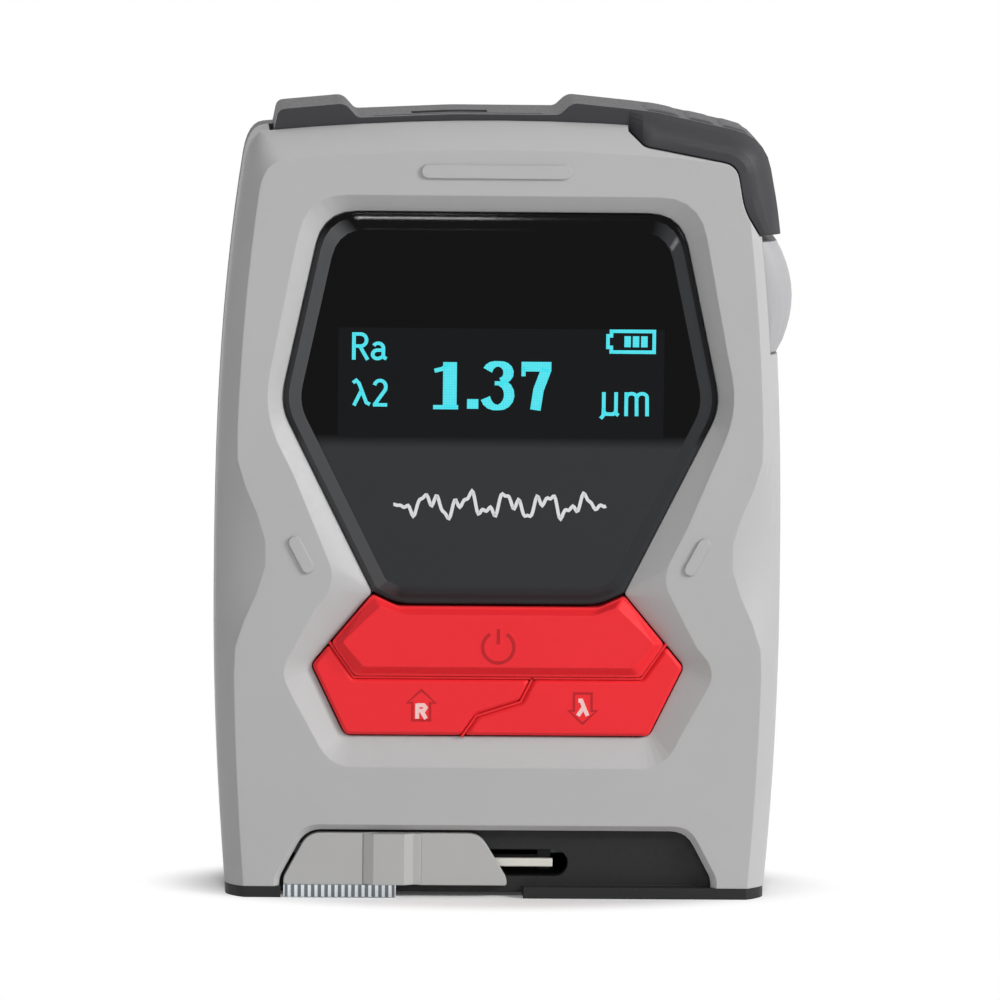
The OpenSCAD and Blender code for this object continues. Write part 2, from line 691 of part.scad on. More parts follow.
module rear_housing() {
    lip_t = 1;
    lip_d = 1.6;
    lip_in = wall + 0.15;
    back_in = y_back - back_wall;
    color("#505053") difference() {
        union() {
            difference() {
                rear_form();
                slab(ring(1, wall, -cut), y_part - cut, back_in);
            }
            difference() {
                union() {
                    slab(ring(1, lip_in, foot_lift), y_part - lip_d, y_part + cut);
                    slab(ring(1, wall / 2, foot_lift), y_part + cut / 2, y_part + 2 * cut);
                }
                slab(ring(1, lip_in + lip_t, -cut), y_part - lip_d - cut, y_part + 3 * cut);
                block([side_seat - cut, y_part - lip_d - cut, side_key_low - key_frame - fit_gap],
                    [body_w, y_part + cut / 4, wrap_low]);
            }
            for (side = [-1, 1]) {
                rod_y(boss_r, side * upper_boss[0], y_part, back_in + 0.5, upper_boss[1]);
                rod_y(boss_r, side * lower_boss[0], y_ear + ear_t, back_in + 0.5, lower_boss[1]);
            }
            crown();
            wrap();
        }
        for (side = [-1, 1], place = [upper_boss, lower_boss]) {
            rod_y(housing_screw_r + fit_gap, side * place[0], y_part - cut, y_back + cut, place[1]);
            rod_y(head_r + fit_gap, side * place[0], y_head, y_back + cut, place[1]);
        }
        block([-usb_x - usb_w / 2 - fit_gap, y_board_back - fit_gap, corner_z],
            [-usb_x + usb_w / 2 + fit_gap, y_board_back + usb_d + fit_gap, crown_h + cut]);
        block([-strip_left + 2, y_crown + 2, strip_h - 0.6], [strip_right - 2, y_crown + 2.7, strip_h + cut]);
    }
}

// Black measuring foot: floor, inner tub, ears for the lower screws, shutter slot and pickup window
module base() {
    front = [for (i = [0:shoulder_n])
        let (s = i / shoulder_n)
        [side_x(foot_lift) - side_cut(foot_lift) * (1 - shoulder_out(s)) - base_set,
            max(y_front + shoulder_d * s, y_front + base_set)]];
    rear = [for (i = [0:round_n])
        let (a = 90 * i / round_n)
        [side_x(foot_lift) - rear_round * (1 - cos(a)) - base_set,
            min(y_back - rear_round * (1 - sin(a)), y_back - base_set)]];
    color("#2E2E30") difference() {
        union() {
            linear_extrude(height = foot_lift) polygon(both_sides(concat(front, rear)));
            difference() {
                block([-tub_half, y_tub, foot_lift / 2], [tub_half, y_tub_back, tub_h]);
                block([-tub_half + tub_wall, y_tub_inner, floor_t],
                    [tub_half - tub_wall, y_tub_back - tub_wall, tub_h + cut]);
            }
            for (side = [-1, 1]) {
                ear_x = side * lower_boss[0];
                block([ear_x - boss_r, y_ear, floor_t - 0.5], [ear_x + boss_r, y_ear + ear_t, lower_boss[1]]);
                rod_y(boss_r, ear_x, y_ear, y_ear + ear_t, lower_boss[1]);
            }
        }
        for (side = [-1, 1])
            rod_y(housing_screw_r + fit_gap, side * lower_boss[0],
                y_ear - cut, y_ear + ear_t + cut, lower_boss[1]);
        slab(pill(slot_right - slot_left, slot_h, [(slot_left + slot_right) / 2, slot_z]),
            y_tub - cut, y_tub_inner + cut);
        block([rail_left, y_rail, slot_z - rail_h / 2],
            [slot_left + slot_h / 2, y_rail + rail_t, slot_z + rail_h / 2]);
        block([window_left, y_tub - cut, -cut], [window_right, window_back, window_top]);
        block([channel_left, y_front - cut, -cut],
            [channel_right, window_back + 0.8, sheet_low + sheet_t + sheet_gap]);
        block([channel_left, y_front - cut, -cut], [channel_right, y_tub, foot_lift + cut]);
        for (x = frame_screws) {
            translate([x, screw_y, -cut]) cylinder(r = frame_screw_r + fit_gap, h = floor_t + 2 * cut);
            translate([x, screw_y, -cut])
                cylinder(r = small_head_r + fit_gap, h = small_head_h + fit_gap + cut);
        }
    }
}

module housing_screws() {
    drive_d = 0.8;
    drive_w = 0.5;
    color("#8C8C90") for (side = [-1, 1], place = [upper_boss, lower_boss]) {
        difference() {
            union() {
                rod_y(housing_screw_r, side * place[0], y_part - 7, y_head + 0.1, place[1]);
                rod_y(head_r, side * place[0], y_head, y_head + head_h, place[1]);
            }
            for (turn = [0, 90])
                translate([side * place[0], y_head + head_h, place[1]]) rotate([0, turn, 0])
                    cube([head_r * 1.3, drive_d * 2, drive_w], center = true);
        }
    }
}

// Black lens with a bevelled rim
module display_lens() {
    edge = inset(lens_pocket, lens_gap);
    rim = soft_loop(edge, lens_trims);
    foot = soft_loop(inset(edge, lens_border), lens_trims);
    face = soft_loop(inset(edge, lens_border + lens_bevel), both_trims([1, 0.4, 2.2, 3.6]));
    color("#0A0A0B") skin([at_depth(face, y_front + lens_set), at_depth(foot, y_bezel - 0.3),
        at_depth(rim, y_bezel - 0.2), at_depth(rim, y_seat)]);
}

module oled_panel() {
    border = 2.4;
    color("#16171A") block([-oled_w / 2 - border, y_rim, oled_z - oled_h / 2 - border],
        [oled_w / 2 + border, y_oled, oled_z + oled_h / 2 + border]);
}

// Frame that holds the display panel on the board
module display_holder() {
    border = 2.8;
    bar = 3;
    color("#D8D8D2") difference() {
        block([-oled_w / 2 - border, y_oled, oled_z - oled_h / 2 - border],
            [oled_w / 2 + border, y_board, oled_z + oled_h / 2 + border]);
        block([-oled_w / 2 - border + bar, y_oled - cut, oled_z - oled_h / 2 - border + bar],
            [oled_w / 2 + border - bar, y_board + cut, oled_z + oled_h / 2 + border - bar]);
    }
}

module main_board() {
    outline = both_sides([[board_w / 2, board_low], [board_w / 2, board_neck_z],
        [board_neck_w / 2, board_neck_z + 3],
        [board_neck_w / 2, board_top]]);
    color("#1F6B3A") difference() {
        slab(soft_loop(outline, both_trims([1, 1, 1, 1])), y_board, y_board_back);
        for (side = [-1, 1], place = board_bosses)
            rod_y(small_screw_r + fit_gap, side * place[0], y_board - cut, y_board_back + cut, place[1]);
    }
}

// Processor, converter and memory on the back of the board
module board_chips() {
    color("#222224") for (chip = chips)
        block([chip[0] - chip[2] / 2, y_board_back, chip[1] - chip[3] / 2],
            [chip[0] + chip[2] / 2, y_board_back + chip_t, chip[1] + chip[3] / 2]);
}

module board_screws() {
    color("#B9B9BC") for (side = [-1, 1], place = board_bosses) {
        rod_y(small_screw_r, side * place[0], y_board - 2.8, y_board_back + 0.1, place[1]);
        rod_y(small_head_r, side * place[0], y_board_back, y_board_back + small_head_h, place[1]);
    }
}

// Push switch on the board: square body and round plunger
module key_switches() {
    body_h = 0.8;
    body = 4.4;
    plunger_r = 1;
    color("#2A2A2C") for (place = [power_stem, lower_stem, [-lower_stem[0], lower_stem[1]]]) {
        block([place[0] - body / 2, y_board - body_h, place[1] - body / 2],
            [place[0] + body / 2, y_board, place[1] + body / 2]);
        rod_y(plunger_r, place[0], y_board - switch_h, y_board - body_h + 0.05, place[1]);
    }
}

module side_switch() {
    mid_z = (side_key_low + side_key_high) / 2;
    mid_y = y_board_back + 2;
    x_button = side_seat - side_flange_t - 0.6 - side_key_travel - 0.15;
    color("#2A2A2C") {
        block([board_w / 2 - 3.5, y_board_back, mid_z - 3], [board_w / 2 + 0.5, y_board_back + 4, mid_z + 3]);
        rod_x(1, board_w / 2 + 0.4, x_button, mid_y, mid_z);
    }
}

module buzzer() {
    color("#1C1C1E") difference() {
        rod_y(4.5, 11, y_board_back, y_board_back + 3, housing_h - 22);
        rod_y(0.8, 11, y_board_back + 2, y_board_back + 3 + cut, housing_h - 22);
    }
}

// Charging socket: bent steel shell with a tongue, on the upper edge of the board
module usb_socket() {
    shell = 0.35;
    length = 9.4;
    tongue = 0.7;
    top = strip_h - 0.6;
    mid_y = y_board_back + usb_d / 2;
    color("#C4C6C8") {
        difference() {
            block([-usb_x - usb_w / 2, y_board_back, top - length],
                [-usb_x + usb_w / 2, y_board_back + usb_d, top]);
            block([-usb_x - usb_w / 2 + shell, y_board_back + shell, top - length + 2],
                [-usb_x + usb_w / 2 - shell, y_board_back + usb_d - shell, top + cut]);
        }
        block([-usb_x - usb_w / 2 + 1.4, mid_y - tongue / 2, top - length + 1.8],
            [-usb_x + usb_w / 2 - 1.4, mid_y + tongue / 2, top - 0.8]);
    }
}

module battery() {
    low = 30;
    outline = both_sides([[battery_w / 2, low], [battery_w / 2, low + battery_h]]);
    color("#3B5F9E") slab(soft_loop(outline, both_trims([2, 2])),
        y_back - back_wall - battery_d, y_back - back_wall);
}

// Power key: raised face with sloped sides
module power_key() {
    rim = soft_loop(inset(power_zone, key_gap), power_trims);
    foot = [for (p = soft_loop(inset(power_zone, key_gap + 0.05), power_trims)) p - [0, power_mid_z]];
    sunk = 0.3;
    color("#E2323A") {
        slab(rim, y_front + key_set, y_key_back);
        translate([0, y_front + key_set + sunk, power_mid_z]) rotate([90, 0, 0])
            linear_extrude(height = key_set + power_proud + sunk, scale = power_taper, slices = 1)
                polygon(foot);
        block([-9, y_key_back - tab_t, display_low_z - 2], [9, y_key_back - 0.1, display_low_z + 1.4]);
        for (side = [-1, 1])
            block([side * 19 - 2, y_key_back - tab_t, 33.4], [side * 19 + 2, y_key_back - 0.1, 35]);
        rod_y(stem_r, power_stem[0], y_key_back - 0.2, y_stem, power_stem[1]);
    }
}

// Lower key: flat face with a softened edge, retained by a lower and an outer tab
module lower_key(zone, side) {
    face = soft_loop(inset(zone, key_gap + key_edge), lower_trims);
    rim = soft_loop(inset(zone, key_gap), lower_trims);
    tab = 1.2;
    color("#E2323A") {
        skin([at_depth(face, y_front + key_set), at_depth(rim, y_front + key_set + key_edge),
            at_depth(rim, y_key_back)]);
        block([side * 12 - 4.5, y_key_back - tab_t, keypad_low_z - tab],
            [side * 12 + 4.5, y_key_back - 0.1, keypad_low_z + 2]);
        block([side * (keypad_w / 2 - 0.7) - 1.6, y_key_back - tab_t, keypad_mid_z - 1.6],
            [side * (keypad_w / 2 - 0.7) + 1.6, y_key_back - 0.1, keypad_mid_z]);
        rod_y(stem_r, side * lower_stem[0], y_key_back - 0.2, y_stem, lower_stem[1]);
    }
}

module parameter_key() {
    lower_key(parameter_zone, -1);
}

module cutoff_key() {
    lower_key(cutoff_zone, 1);
}

// Start key on the right side: bulged above, running out into the housing's side below
function key_bulge(t) = side_key_bulge * pow(sin(160 * t), 0.8);
module side_key() {
    n = 10;
    mid_z = (side_key_low + side_key_high) / 2;
    mid_y = y_board_back + 2;
    x_in = side_seat - 0.1;
    color("#B4B4B6") {
        skin([for (i = [0:n])
            let (t = i / n,
                z = mix(side_key_low, side_key_high, t),
                x = side_x(z) + key_bulge(t),
                front = [side_x(z) - shoulder_w * 0.8, side_key_front, z])
            concat([[x_in, side_key_back, z], [x - 0.5, side_key_back, z], [x, side_key_back - 0.5, z]],
                bend([x, side_key_front + 4.4, z], [x, side_key_front + 0.8, z], front, 5),
                [[x_in, side_key_front, z]])]);
        block([x_in - side_flange_t, y_rim + fit_gap, side_key_low - side_flange],
            [x_in, side_key_back - 0.4, side_key_high + side_flange]);
        rod_x(1.4, x_in - side_flange_t - 0.5, x_in, mid_y, mid_z);
    }
}

// Sliding plate in front of the pickup, with a finger groove and a guide boss for the slot
module shutter() {
    left = -shutter_left;
    right = left + shutter_l;
    top_left = left + shutter_slant;
    outline = [[left, shutter_low_z], [right, shutter_low_z], [right, shutter_low_z + shutter_edge],
        [top_left + shutter_top_l, shutter_top_z], [top_left, shutter_top_z],
        [left, shutter_low_z + shutter_edge]];
    groove_x = left + 13.5;
    groove_w = 6.8;
    groove_floor = 3.7;
    color("#A8A8A7") difference() {
        union() {
            slab(soft_loop(outline, [0.2, 0.3, 0.5, 1.6, 1.6, 0.5]), y_shutter, y_shutter + shutter_t);
            block([left + 0.1, y_shutter + 0.3, shutter_foot_z],
                [left + sheet_l, y_shutter + shutter_t - 0.1, shutter_low_z + 0.5]);
            slab(pill(boss_l, slot_h - 2 * slide_gap, [boss_left + boss_l / 2, slot_z]),
                y_shutter + shutter_t - 0.1, y_shoe);
        }
        translate([groove_x, y_shutter, shutter_foot_z - cut]) linear_extrude(height = shutter_top_z + cut)
            polygon([[-groove_w / 2 - 0.4, -0.08], [groove_w / 2 + 0.4, -0.08],
                [groove_floor / 2, groove_d], [-groove_floor / 2, groove_d]]);
        block([boss_left - cut, y_rail - slide_gap, slot_z - rail_h / 2 - slide_gap],
            [boss_left + boss_l + cut, y_rail + rail_t + slide_gap, slot_z + rail_h / 2 + slide_gap]);
    }
}

// Folded sheet that closes the window under the pickup, with a ribbed front edge
module shutter_grip() {
    left = -shutter_left;
    y_lip = y_shutter + 0.3;
    lip_t = 0.4;
    pitch = (sheet_l - 0.6) / rib_count;
    rib_r = 0.28;
    color("#DDE2E4") {
        block([left, y_lip - lip_t, sheet_low], [left + sheet_l, window_back + 0.3, sheet_low + sheet_t]);
        block([left, y_lip - lip_t, sheet_low], [left + sheet_l, y_lip, shutter_low_z]);
        for (i = [0:rib_count - 1])
            translate([left + 0.3 + pitch * (i + 0.5), y_lip - lip_t, sheet_low])
                cylinder(r = rib_r, h = shutter_low_z - sheet_low, $fn = 16);
    }
}

// Shoe behind the slot, which keeps the shutter on the foot
module shutter_shoe() {
    over = 1.2;
    color("#3A3A3C") block([boss_left - over, y_shoe, slot_z - slot_h / 2 + 0.1],
        [boss_left + boss_l + over, y_shoe + shoe_t, slot_z + slot_h / 2 + 0.5]);
}

module shutter_rail() {
    color("#D4D4CC") block([rail_left, y_rail, slot_z - rail_h / 2],
        [rail_right, y_rail + rail_t, slot_z + rail_h / 2]);
}

// Folded bracket with two end plates
module drive_frame() {
    color("#9FA3A8") difference() {
        union() {
            block([frame_left - plate_t, screw_y - 3.8, floor_t],
                [frame_right + plate_t, frame_back, floor_t + frame_floor_t]);
            for (x = [frame_left - plate_t, frame_right])
                block([x, frame_front, floor_t], [x + plate_t, frame_back, frame_top]);
        }
        rod_x(bush_r + seat_gap, frame_left - plate_t - cut, frame_right + plate_t + cut, screw_y, screw_z);
        for (side = [-1, 1])
            rod_x(rod_r + seat_gap, frame_left - plate_t - cut, frame_right + plate_t + cut,
                screw_y + side * rod_spread, rod_z);
        for (x = frame_screws)
            translate([x, screw_y, floor_t - cut])
                cylinder(r = frame_screw_r + bore_gap, h = frame_floor_t + 2 * cut);
    }
}

module drive_screws() {
    color("#B9B9BC") for (x = frame_screws) {
        translate([x, screw_y, small_head_h])
            cylinder(r = frame_screw_r, h = floor_t + frame_floor_t - small_head_h - 0.1);
        translate([x, screw_y, fit_gap]) cylinder(r = small_head_r, h = small_head_h);
    }
}

module guide_rods() {
    color("#D0D2D4") for (side = [-1, 1])
        rod_x(rod_r, frame_left - plate_t, frame_right + plate_t, screw_y + side * rod_spread, rod_z);
}

// Flanged bushes in the end plates
module screw_bushes() {
    flange_t = 0.4;
    color("#B5893C") difference() {
        union() {
            rod_x(bush_r, frame_left - plate_t, frame_left + flange_t, screw_y, screw_z);
            rod_x(flange_r, frame_left, frame_left + flange_t, screw_y, screw_z);
            rod_x(bush_r, frame_right - flange_t, frame_right + plate_t, screw_y, screw_z);
            rod_x(flange_r, frame_right - flange_t, frame_right, screw_y, screw_z);
        }
        rod_x(journal_r + bore_gap, frame_left - plate_t - cut, frame_right + plate_t + cut,
            screw_y, screw_z);
    }
}

// Drive screw with plain journals; its right end enters the gearbox
module lead_screw() {
    shoulder = 0.55;
    color("#C9CBCD") {
        rod_x(journal_r, frame_left - plate_t + 0.1, frame_right + plate_t + 0.9, screw_y, screw_z);
        rod_x(screw_r, frame_left + shoulder, frame_right - shoulder, screw_y, screw_z);
    }
}

module gearbox() {
    left = frame_right + plate_t;
    half = motor_r - 0.2;
    color("#7F8286") difference() {
        block([left, screw_y - half, screw_z - half], [left + gearbox_l, screw_y + half, screw_z + half]);
        rod_x(journal_r + fit_gap, left - cut, left + 1.2, screw_y, screw_z);
    }
}

module drive_motor() {
    left = frame_right + plate_t + gearbox_l;
    color("#B8BABD") {
        rod_x(motor_r, left, left + motor_l, screw_y, screw_z);
        rod_x(1.6, left + motor_l - 0.1, left + motor_l + 0.6, screw_y, screw_z);
    }
}

// Carriage on the guide rods, with the seat for the nut and the pivot pin
module carriage() {
    low = floor_t + frame_floor_t + 0.6;
    color("#3F4247") difference() {
        block([carriage_left, carriage_front, low], [carriage_right, screw_y + 4.4, rod_z + 2]);
        rod_x(nut_r + seat_gap, carriage_left - cut, carriage_right + cut, screw_y, screw_z);
        for (side = [-1, 1])
            rod_x(rod_r + bore_gap, carriage_left - cut, carriage_right + cut,
                screw_y + side * rod_spread, rod_z);
        rod_y(pivot_r + seat_gap, pivot[0], carriage_front - cut, carriage_front + 2, pivot[1]);
    }
}

module lead_nut() {
    color("#B5893C") difference() {
        rod_x(nut_r, carriage_left, carriage_right, screw_y, screw_z);
        rod_x(screw_r + bore_gap, carriage_left - cut, carriage_right + cut, screw_y, screw_z);
    }
}

module pivot_pin() {
    color("#C9CBCD") {
        rod_y(pivot_r, pivot[0], pickup_front - 0.15, carriage_front + 1.9, pivot[1]);
        rod_y(pivot_r + 0.5, pivot[0], pickup_front - 0.55, pickup_front - 0.1, pivot[1]);
    }
}

// Pickup: hub, tapered arm and the head that carries skid and stylus
module pickup_arm() {
    arm = [[pivot[0], pivot[1] + 1.2], [tip_x + 3.4, pivot[1] + 0.3],
        [tip_x + 3.4, pivot[1] - 1.4], [pivot[0], pivot[1] - 1.4]];
    head = [[tip_x + 3.5, head_low], [tip_x + 3.5, pivot[1] + 0.4], [tip_x - 1.4, pivot[1] + 0.4],
        [tip_x - 2.2, pivot[1] - 0.4], [tip_x - 2.2, head_low + 0.8], [tip_x - 1.4, head_low]];
    color("#8E9297") difference() {
        union() {
            rod_y(hub_r, pivot[0], pickup_front, pickup_back, pivot[1]);
            slab(arm, pickup_front + 0.5, pickup_back - 0.5);
            slab(head, pickup_front, pickup_back);
        }
        rod_y(pivot_r + bore_gap, pivot[0], pickup_front - cut, pickup_back + cut, pivot[1]);
        translate([skid_x, pickup_mid, head_low - cut]) cylinder(r = skid_r + seat_gap, h = socket_d + cut);
        translate([tip_x, pickup_mid, head_low - cut]) cylinder(r = stylus_r + seat_gap, h = socket_d + cut);
    }
}

module skid() {
    color("#B3202C") translate([skid_x, pickup_mid, 0]) {
        translate([0, 0, tip_z + 0.1 + skid_r]) sphere(r = skid_r);
        translate([0, 0, tip_z + 0.1 + skid_r])
            cylinder(r = skid_r, h = head_low + socket_d - tip_z - 0.1 - skid_r);
    }
}

module stylus() {
    cone_h = 1.5;
    point_r = 0.05;
    color("#D9DCDF") translate([tip_x, pickup_mid, tip_z]) {
        cylinder(r1 = point_r, r2 = stylus_r, h = cone_h);
        translate([0, 0, cone_h]) cylinder(r = stylus_r, h = head_low + socket_d - tip_z - cone_h);
    }
}

front_housing();
rear_housing();
base();
housing_screws();
display_lens();
oled_panel();
display_holder();
main_board();
board_chips();
board_screws();
key_switches();
side_switch();
buzzer();
usb_socket();
battery();
power_key();
parameter_key();
cutoff_key();
side_key();
shutter();
shutter_grip();
shutter_shoe();
shutter_rail();
drive_frame();
drive_screws();
guide_rods();
screw_bushes();
lead_screw();
gearbox();
drive_motor();
carriage();
lead_nut();
pivot_pin();
pickup_arm();
skid();
stylus();
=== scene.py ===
"""Dresses the hand-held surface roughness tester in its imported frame.

Moulded grey and dark housing, gloss lens with lit figures, red keys, steel shutter and drive.
Sizes are in millimetres; meshes and patterns are written in metres.
"""

import logging
from dataclasses import dataclass
from enum import Enum
from math import cos, radians, sin

import bpy
import numpy as np
from mathutils import Matrix, Vector


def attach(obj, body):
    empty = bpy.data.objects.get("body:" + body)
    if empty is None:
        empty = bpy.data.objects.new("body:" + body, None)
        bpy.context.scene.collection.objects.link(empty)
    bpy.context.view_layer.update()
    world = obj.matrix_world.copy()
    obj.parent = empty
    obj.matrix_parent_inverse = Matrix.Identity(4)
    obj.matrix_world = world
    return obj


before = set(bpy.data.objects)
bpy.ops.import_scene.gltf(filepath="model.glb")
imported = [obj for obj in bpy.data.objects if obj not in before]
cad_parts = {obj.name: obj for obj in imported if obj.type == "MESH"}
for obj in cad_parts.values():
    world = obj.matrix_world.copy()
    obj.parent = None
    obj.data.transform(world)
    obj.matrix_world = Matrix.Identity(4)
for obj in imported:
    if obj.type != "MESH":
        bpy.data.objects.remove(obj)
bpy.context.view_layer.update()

MM = 0.001
# Facets of a CAD node that meet at less than this many degrees are shaded as one curve
FACET_LIMIT = 15.0
# Corners of a CAD node's loose triangles are joined within this gap, in metres
JOIN_GAP = 2e-6
# Edges of an added smooth piece that meet at more than this many degrees stay sharp
SHARP_ANGLE = 40.0
# Radius of a moulded edge, in millimetres
EDGE_ROUND = 0.22
# Range that most of a noise pattern's values lie in
NOISE_LOW, NOISE_HIGH = 0.3, 0.7
# Points of an arc in a figure
ARC_POINTS = 13
# A stroke's mitre is held where its corner turns by more than this allows
MITRE_FLOOR = 0.5
LOG = logging.getLogger("roughness_tester")

Path = tuple[tuple[float, float], ...]


class Rider(Enum):
    """Bodies that carry the added pieces."""

    BODY = "body"
    POWER = "power_button"
    PARAMETER = "parameter_button"
    CUTOFF = "cutoff_button"
    SHUTTER = "shutter_unit"


class Brush(Enum):
    """Direction of the fine lines on a drawn, ground or brushed metal, as the stretch of its pattern."""

    ALONG_X = (0.04, 1.0, 1.0)
    ALONG_Y = (1.0, 0.04, 1.0)
    ALONG_Z = (1.0, 1.0, 0.04)


class Pen(Enum):
    """Pens of the lit figures: width of a lying stroke and of an upright one, in millimetres."""

    SMALL = (0.42, 0.46)
    HAIR = (0.52, 0.52)
    FULL = (1.2, 1.3)
    STEM = (1.2, 1.7)
    SWELL = (0.6, 1.3)
    BAR = (0.8, 0.8)


def linear(colour: str, share: float = 1.0) -> tuple[float, float, float, float]:
    """Turns an sRGB hex value into linear light.

    Args:
        colour: hex value such as "#AFAFAF".
        share: factor on the linear light.

    Returns:
        Red, green, blue and an alpha of one.
    """
    parts = np.array([int(colour[i:i + 2], 16) / 255 for i in (1, 3, 5)])
    light = np.where(parts <= 0.04045, parts / 12.92, ((parts + 0.055) / 1.055) ** 2.4)
    red, green, blue = (float(v) for v in np.clip(light * share, 0, 1))
    return red, green, blue, 1.0


def per_mm(size: float) -> float:
    """Gives the texture scale at which one cell of a pattern is as wide as the size."""
    return 1.0 / (size * MM)


def add(tree: bpy.types.NodeTree, kind: str, links: dict | None = None, **settings: object) -> bpy.types.Node:
    """Adds one node with its settings and links.

    Args:
        tree: node tree that takes the node.
        kind: Blender's name of the node type.
        links: input name or number, with the socket or the value that feeds it.
        settings: the node's own properties.

    Returns:
        The new node.
    """
    node = tree.nodes.new(kind)
    for name, value in settings.items():
        setattr(node, name, value)
    for name, value in (links or {}).items():
        if isinstance(value, bpy.types.NodeSocket):
            tree.links.new(value, node.inputs[name])
        else:
            node.inputs[name].default_value = value
    return node


@dataclass(frozen=True)
class Finish:
    """A finish: the material's name, its colour and how it takes the light."""

    name: str
    colour: str
    roughness: float
    metallic: float = 0.0
    specular: float = 0.5

    def start(self) -> tuple[bpy.types.Material, bpy.types.NodeTree, bpy.types.Node, bpy.types.NodeSocket]:
        """Makes the material with its shader.

        Returns:
            The material, its tree, its shader and its Object coordinates.
        """
        material = bpy.data.materials.new(self.name)
        material.use_nodes = True
        material.diffuse_color = linear(self.colour)
        tree = material.node_tree
        tree.nodes.clear()
        shader = add(tree, "ShaderNodeBsdfPrincipled", {
            "Base Color": linear(self.colour), "Roughness": self.roughness, "Metallic": self.metallic,
            "Specular IOR Level": self.specular})
        add(tree, "ShaderNodeOutputMaterial", {"Surface": shader.outputs["BSDF"]})
        place = add(tree, "ShaderNodeTexCoord").outputs["Object"]
        return material, tree, shader, place

    def make(self) -> bpy.types.Material:
        """Makes the plain finish."""
        return self.start()[0]


@dataclass(frozen=True)
class Moulded(Finish):
    """Injection-moulded plastic: an even colour with faint flow clouds, and the tool's spark-eroded grain."""

    # Such grain is under a tenth of a millimetre wide, and is drawn coarser here so that it shows
    grain: float = 0.4
    depth: float = 0.012
    cloud: float = 24.0
    drift: float = 0.05
    swing: float = 0.06

    def make(self) -> bpy.types.Material:
        """Makes the material: wide soft clouds shift the colour, and fine grain gives bump and broken gloss.

        Returns:
            The material.
        """
        material, tree, shader, place = self.start()
        cloud = add(tree, "ShaderNodeTexNoise", {"Vector": place, "Scale": per_mm(self.cloud), "Detail": 2.0})
        tone = add(tree, "ShaderNodeMix", {
            0: cloud.outputs[0], 6: linear(self.colour, 1 - self.drift),
            7: linear(self.colour, 1 + self.drift)}, data_type="RGBA")
        grain = add(tree, "ShaderNodeTexNoise", {"Vector": place, "Scale": per_mm(self.grain), "Detail": 1.0})
        gloss = add(tree, "ShaderNodeMapRange", {
            "Value": grain.outputs[0], "From Min": NOISE_LOW, "From Max": NOISE_HIGH,
            "To Min": self.roughness - self.swing, "To Max": self.roughness + self.swing})
        edge = add(tree, "ShaderNodeBevel", {"Radius": EDGE_ROUND * MM}, samples=4)
        bump = add(tree, "ShaderNodeBump", {
            "Height": grain.outputs[0], "Distance": self.depth * MM, "Strength": 0.6,
            "Normal": edge.outputs[0]})
        tree.links.new(tone.outputs[2], shader.inputs["Base Color"])
        tree.links.new(gloss.outputs[0], shader.inputs["Roughness"])
        tree.links.new(bump.outputs[0], shader.inputs["Normal"])
        return material


@dataclass(frozen=True)
class GlossLens(Finish):
    """Polished acrylic, printed black behind, with the dim panel behind its window, and painted reflections
    in charcoal on its lower part and in grey on its bevels.
    """

    # Charcoal of the painted reflection on the lens's lower part
    lower: str = "#333436"
    window: str = "#111214"
    # Painted reflections on the bevels, paler where they face left and darker where they face right, because
    # there is no room around them to mirror
    bevel_left_reflection: str = "#5C5D5F"
    bevel_right_reflection: str = "#2E2F31"
    horizon: float = 57.2
    horizon_soft: float = 0.8
    window_low: float = 57.7
    window_high: float = 71.3
    window_half: float = 20.2
    bevel_slope: float = 0.3
    edge: float = 0.6

    def make(self) -> bpy.types.Material:
        """Makes the material: painted reflections lighten it below the horizon and on its bevels, and the
        window has its own tone.

        Returns:
            The material.
        """
        material, tree, shader, place = self.start()
        axes = add(tree, "ShaderNodeSeparateXYZ", {0: place})
        side = add(tree, "ShaderNodeMath", {0: axes.outputs["X"]}, operation="ABSOLUTE")
        across = add(tree, "ShaderNodeMath", {
            0: side.outputs[0], 1: self.window_half * MM}, operation="LESS_THAN")
        under = add(tree, "ShaderNodeMath", {
            0: axes.outputs["Z"], 1: self.window_high * MM}, operation="LESS_THAN")
        over = add(tree, "ShaderNodeMath", {
            0: axes.outputs["Z"], 1: self.window_low * MM}, operation="GREATER_THAN")
        band = add(tree, "ShaderNodeMath", {0: under.outputs[0], 1: over.outputs[0]}, operation="MULTIPLY")
        inside = add(tree, "ShaderNodeMath", {0: band.outputs[0], 1: across.outputs[0]}, operation="MULTIPLY")
        reflection_fade = add(tree, "ShaderNodeMapRange", {
            "Value": axes.outputs["Z"], "From Min": (self.horizon + self.horizon_soft) * MM,
            "From Max": (self.horizon - self.horizon_soft) * MM})
        back = add(tree, "ShaderNodeMix", {
            0: reflection_fade.outputs[0], 6: linear(self.colour), 7: linear(self.lower)}, data_type="RGBA")
        tone = add(tree, "ShaderNodeMix", {
            0: inside.outputs[0], 6: back.outputs[2], 7: linear(self.window)}, data_type="RGBA")
        facing = add(tree, "ShaderNodeSeparateXYZ", {0: add(tree, "ShaderNodeTexCoord").outputs["Normal"]})
        for colour, slope in ((self.bevel_left_reflection, -self.bevel_slope), (self.bevel_right_reflection, self.bevel_slope)):
            turned = add(tree, "ShaderNodeMapRange", {
                "Value": facing.outputs["X"], "From Min": slope / 3, "From Max": slope})
            tone = add(tree, "ShaderNodeMix", {
                0: turned.outputs[0], 6: tone.outputs[2], 7: linear(colour)}, data_type="RGBA")
        edge = add(tree, "ShaderNodeBevel", {"Radius": self.edge * MM}, samples=6)
        tree.links.new(tone.outputs[2], shader.inputs["Base Color"])
        tree.links.new(edge.outputs[0], shader.inputs["Normal"])
        return material


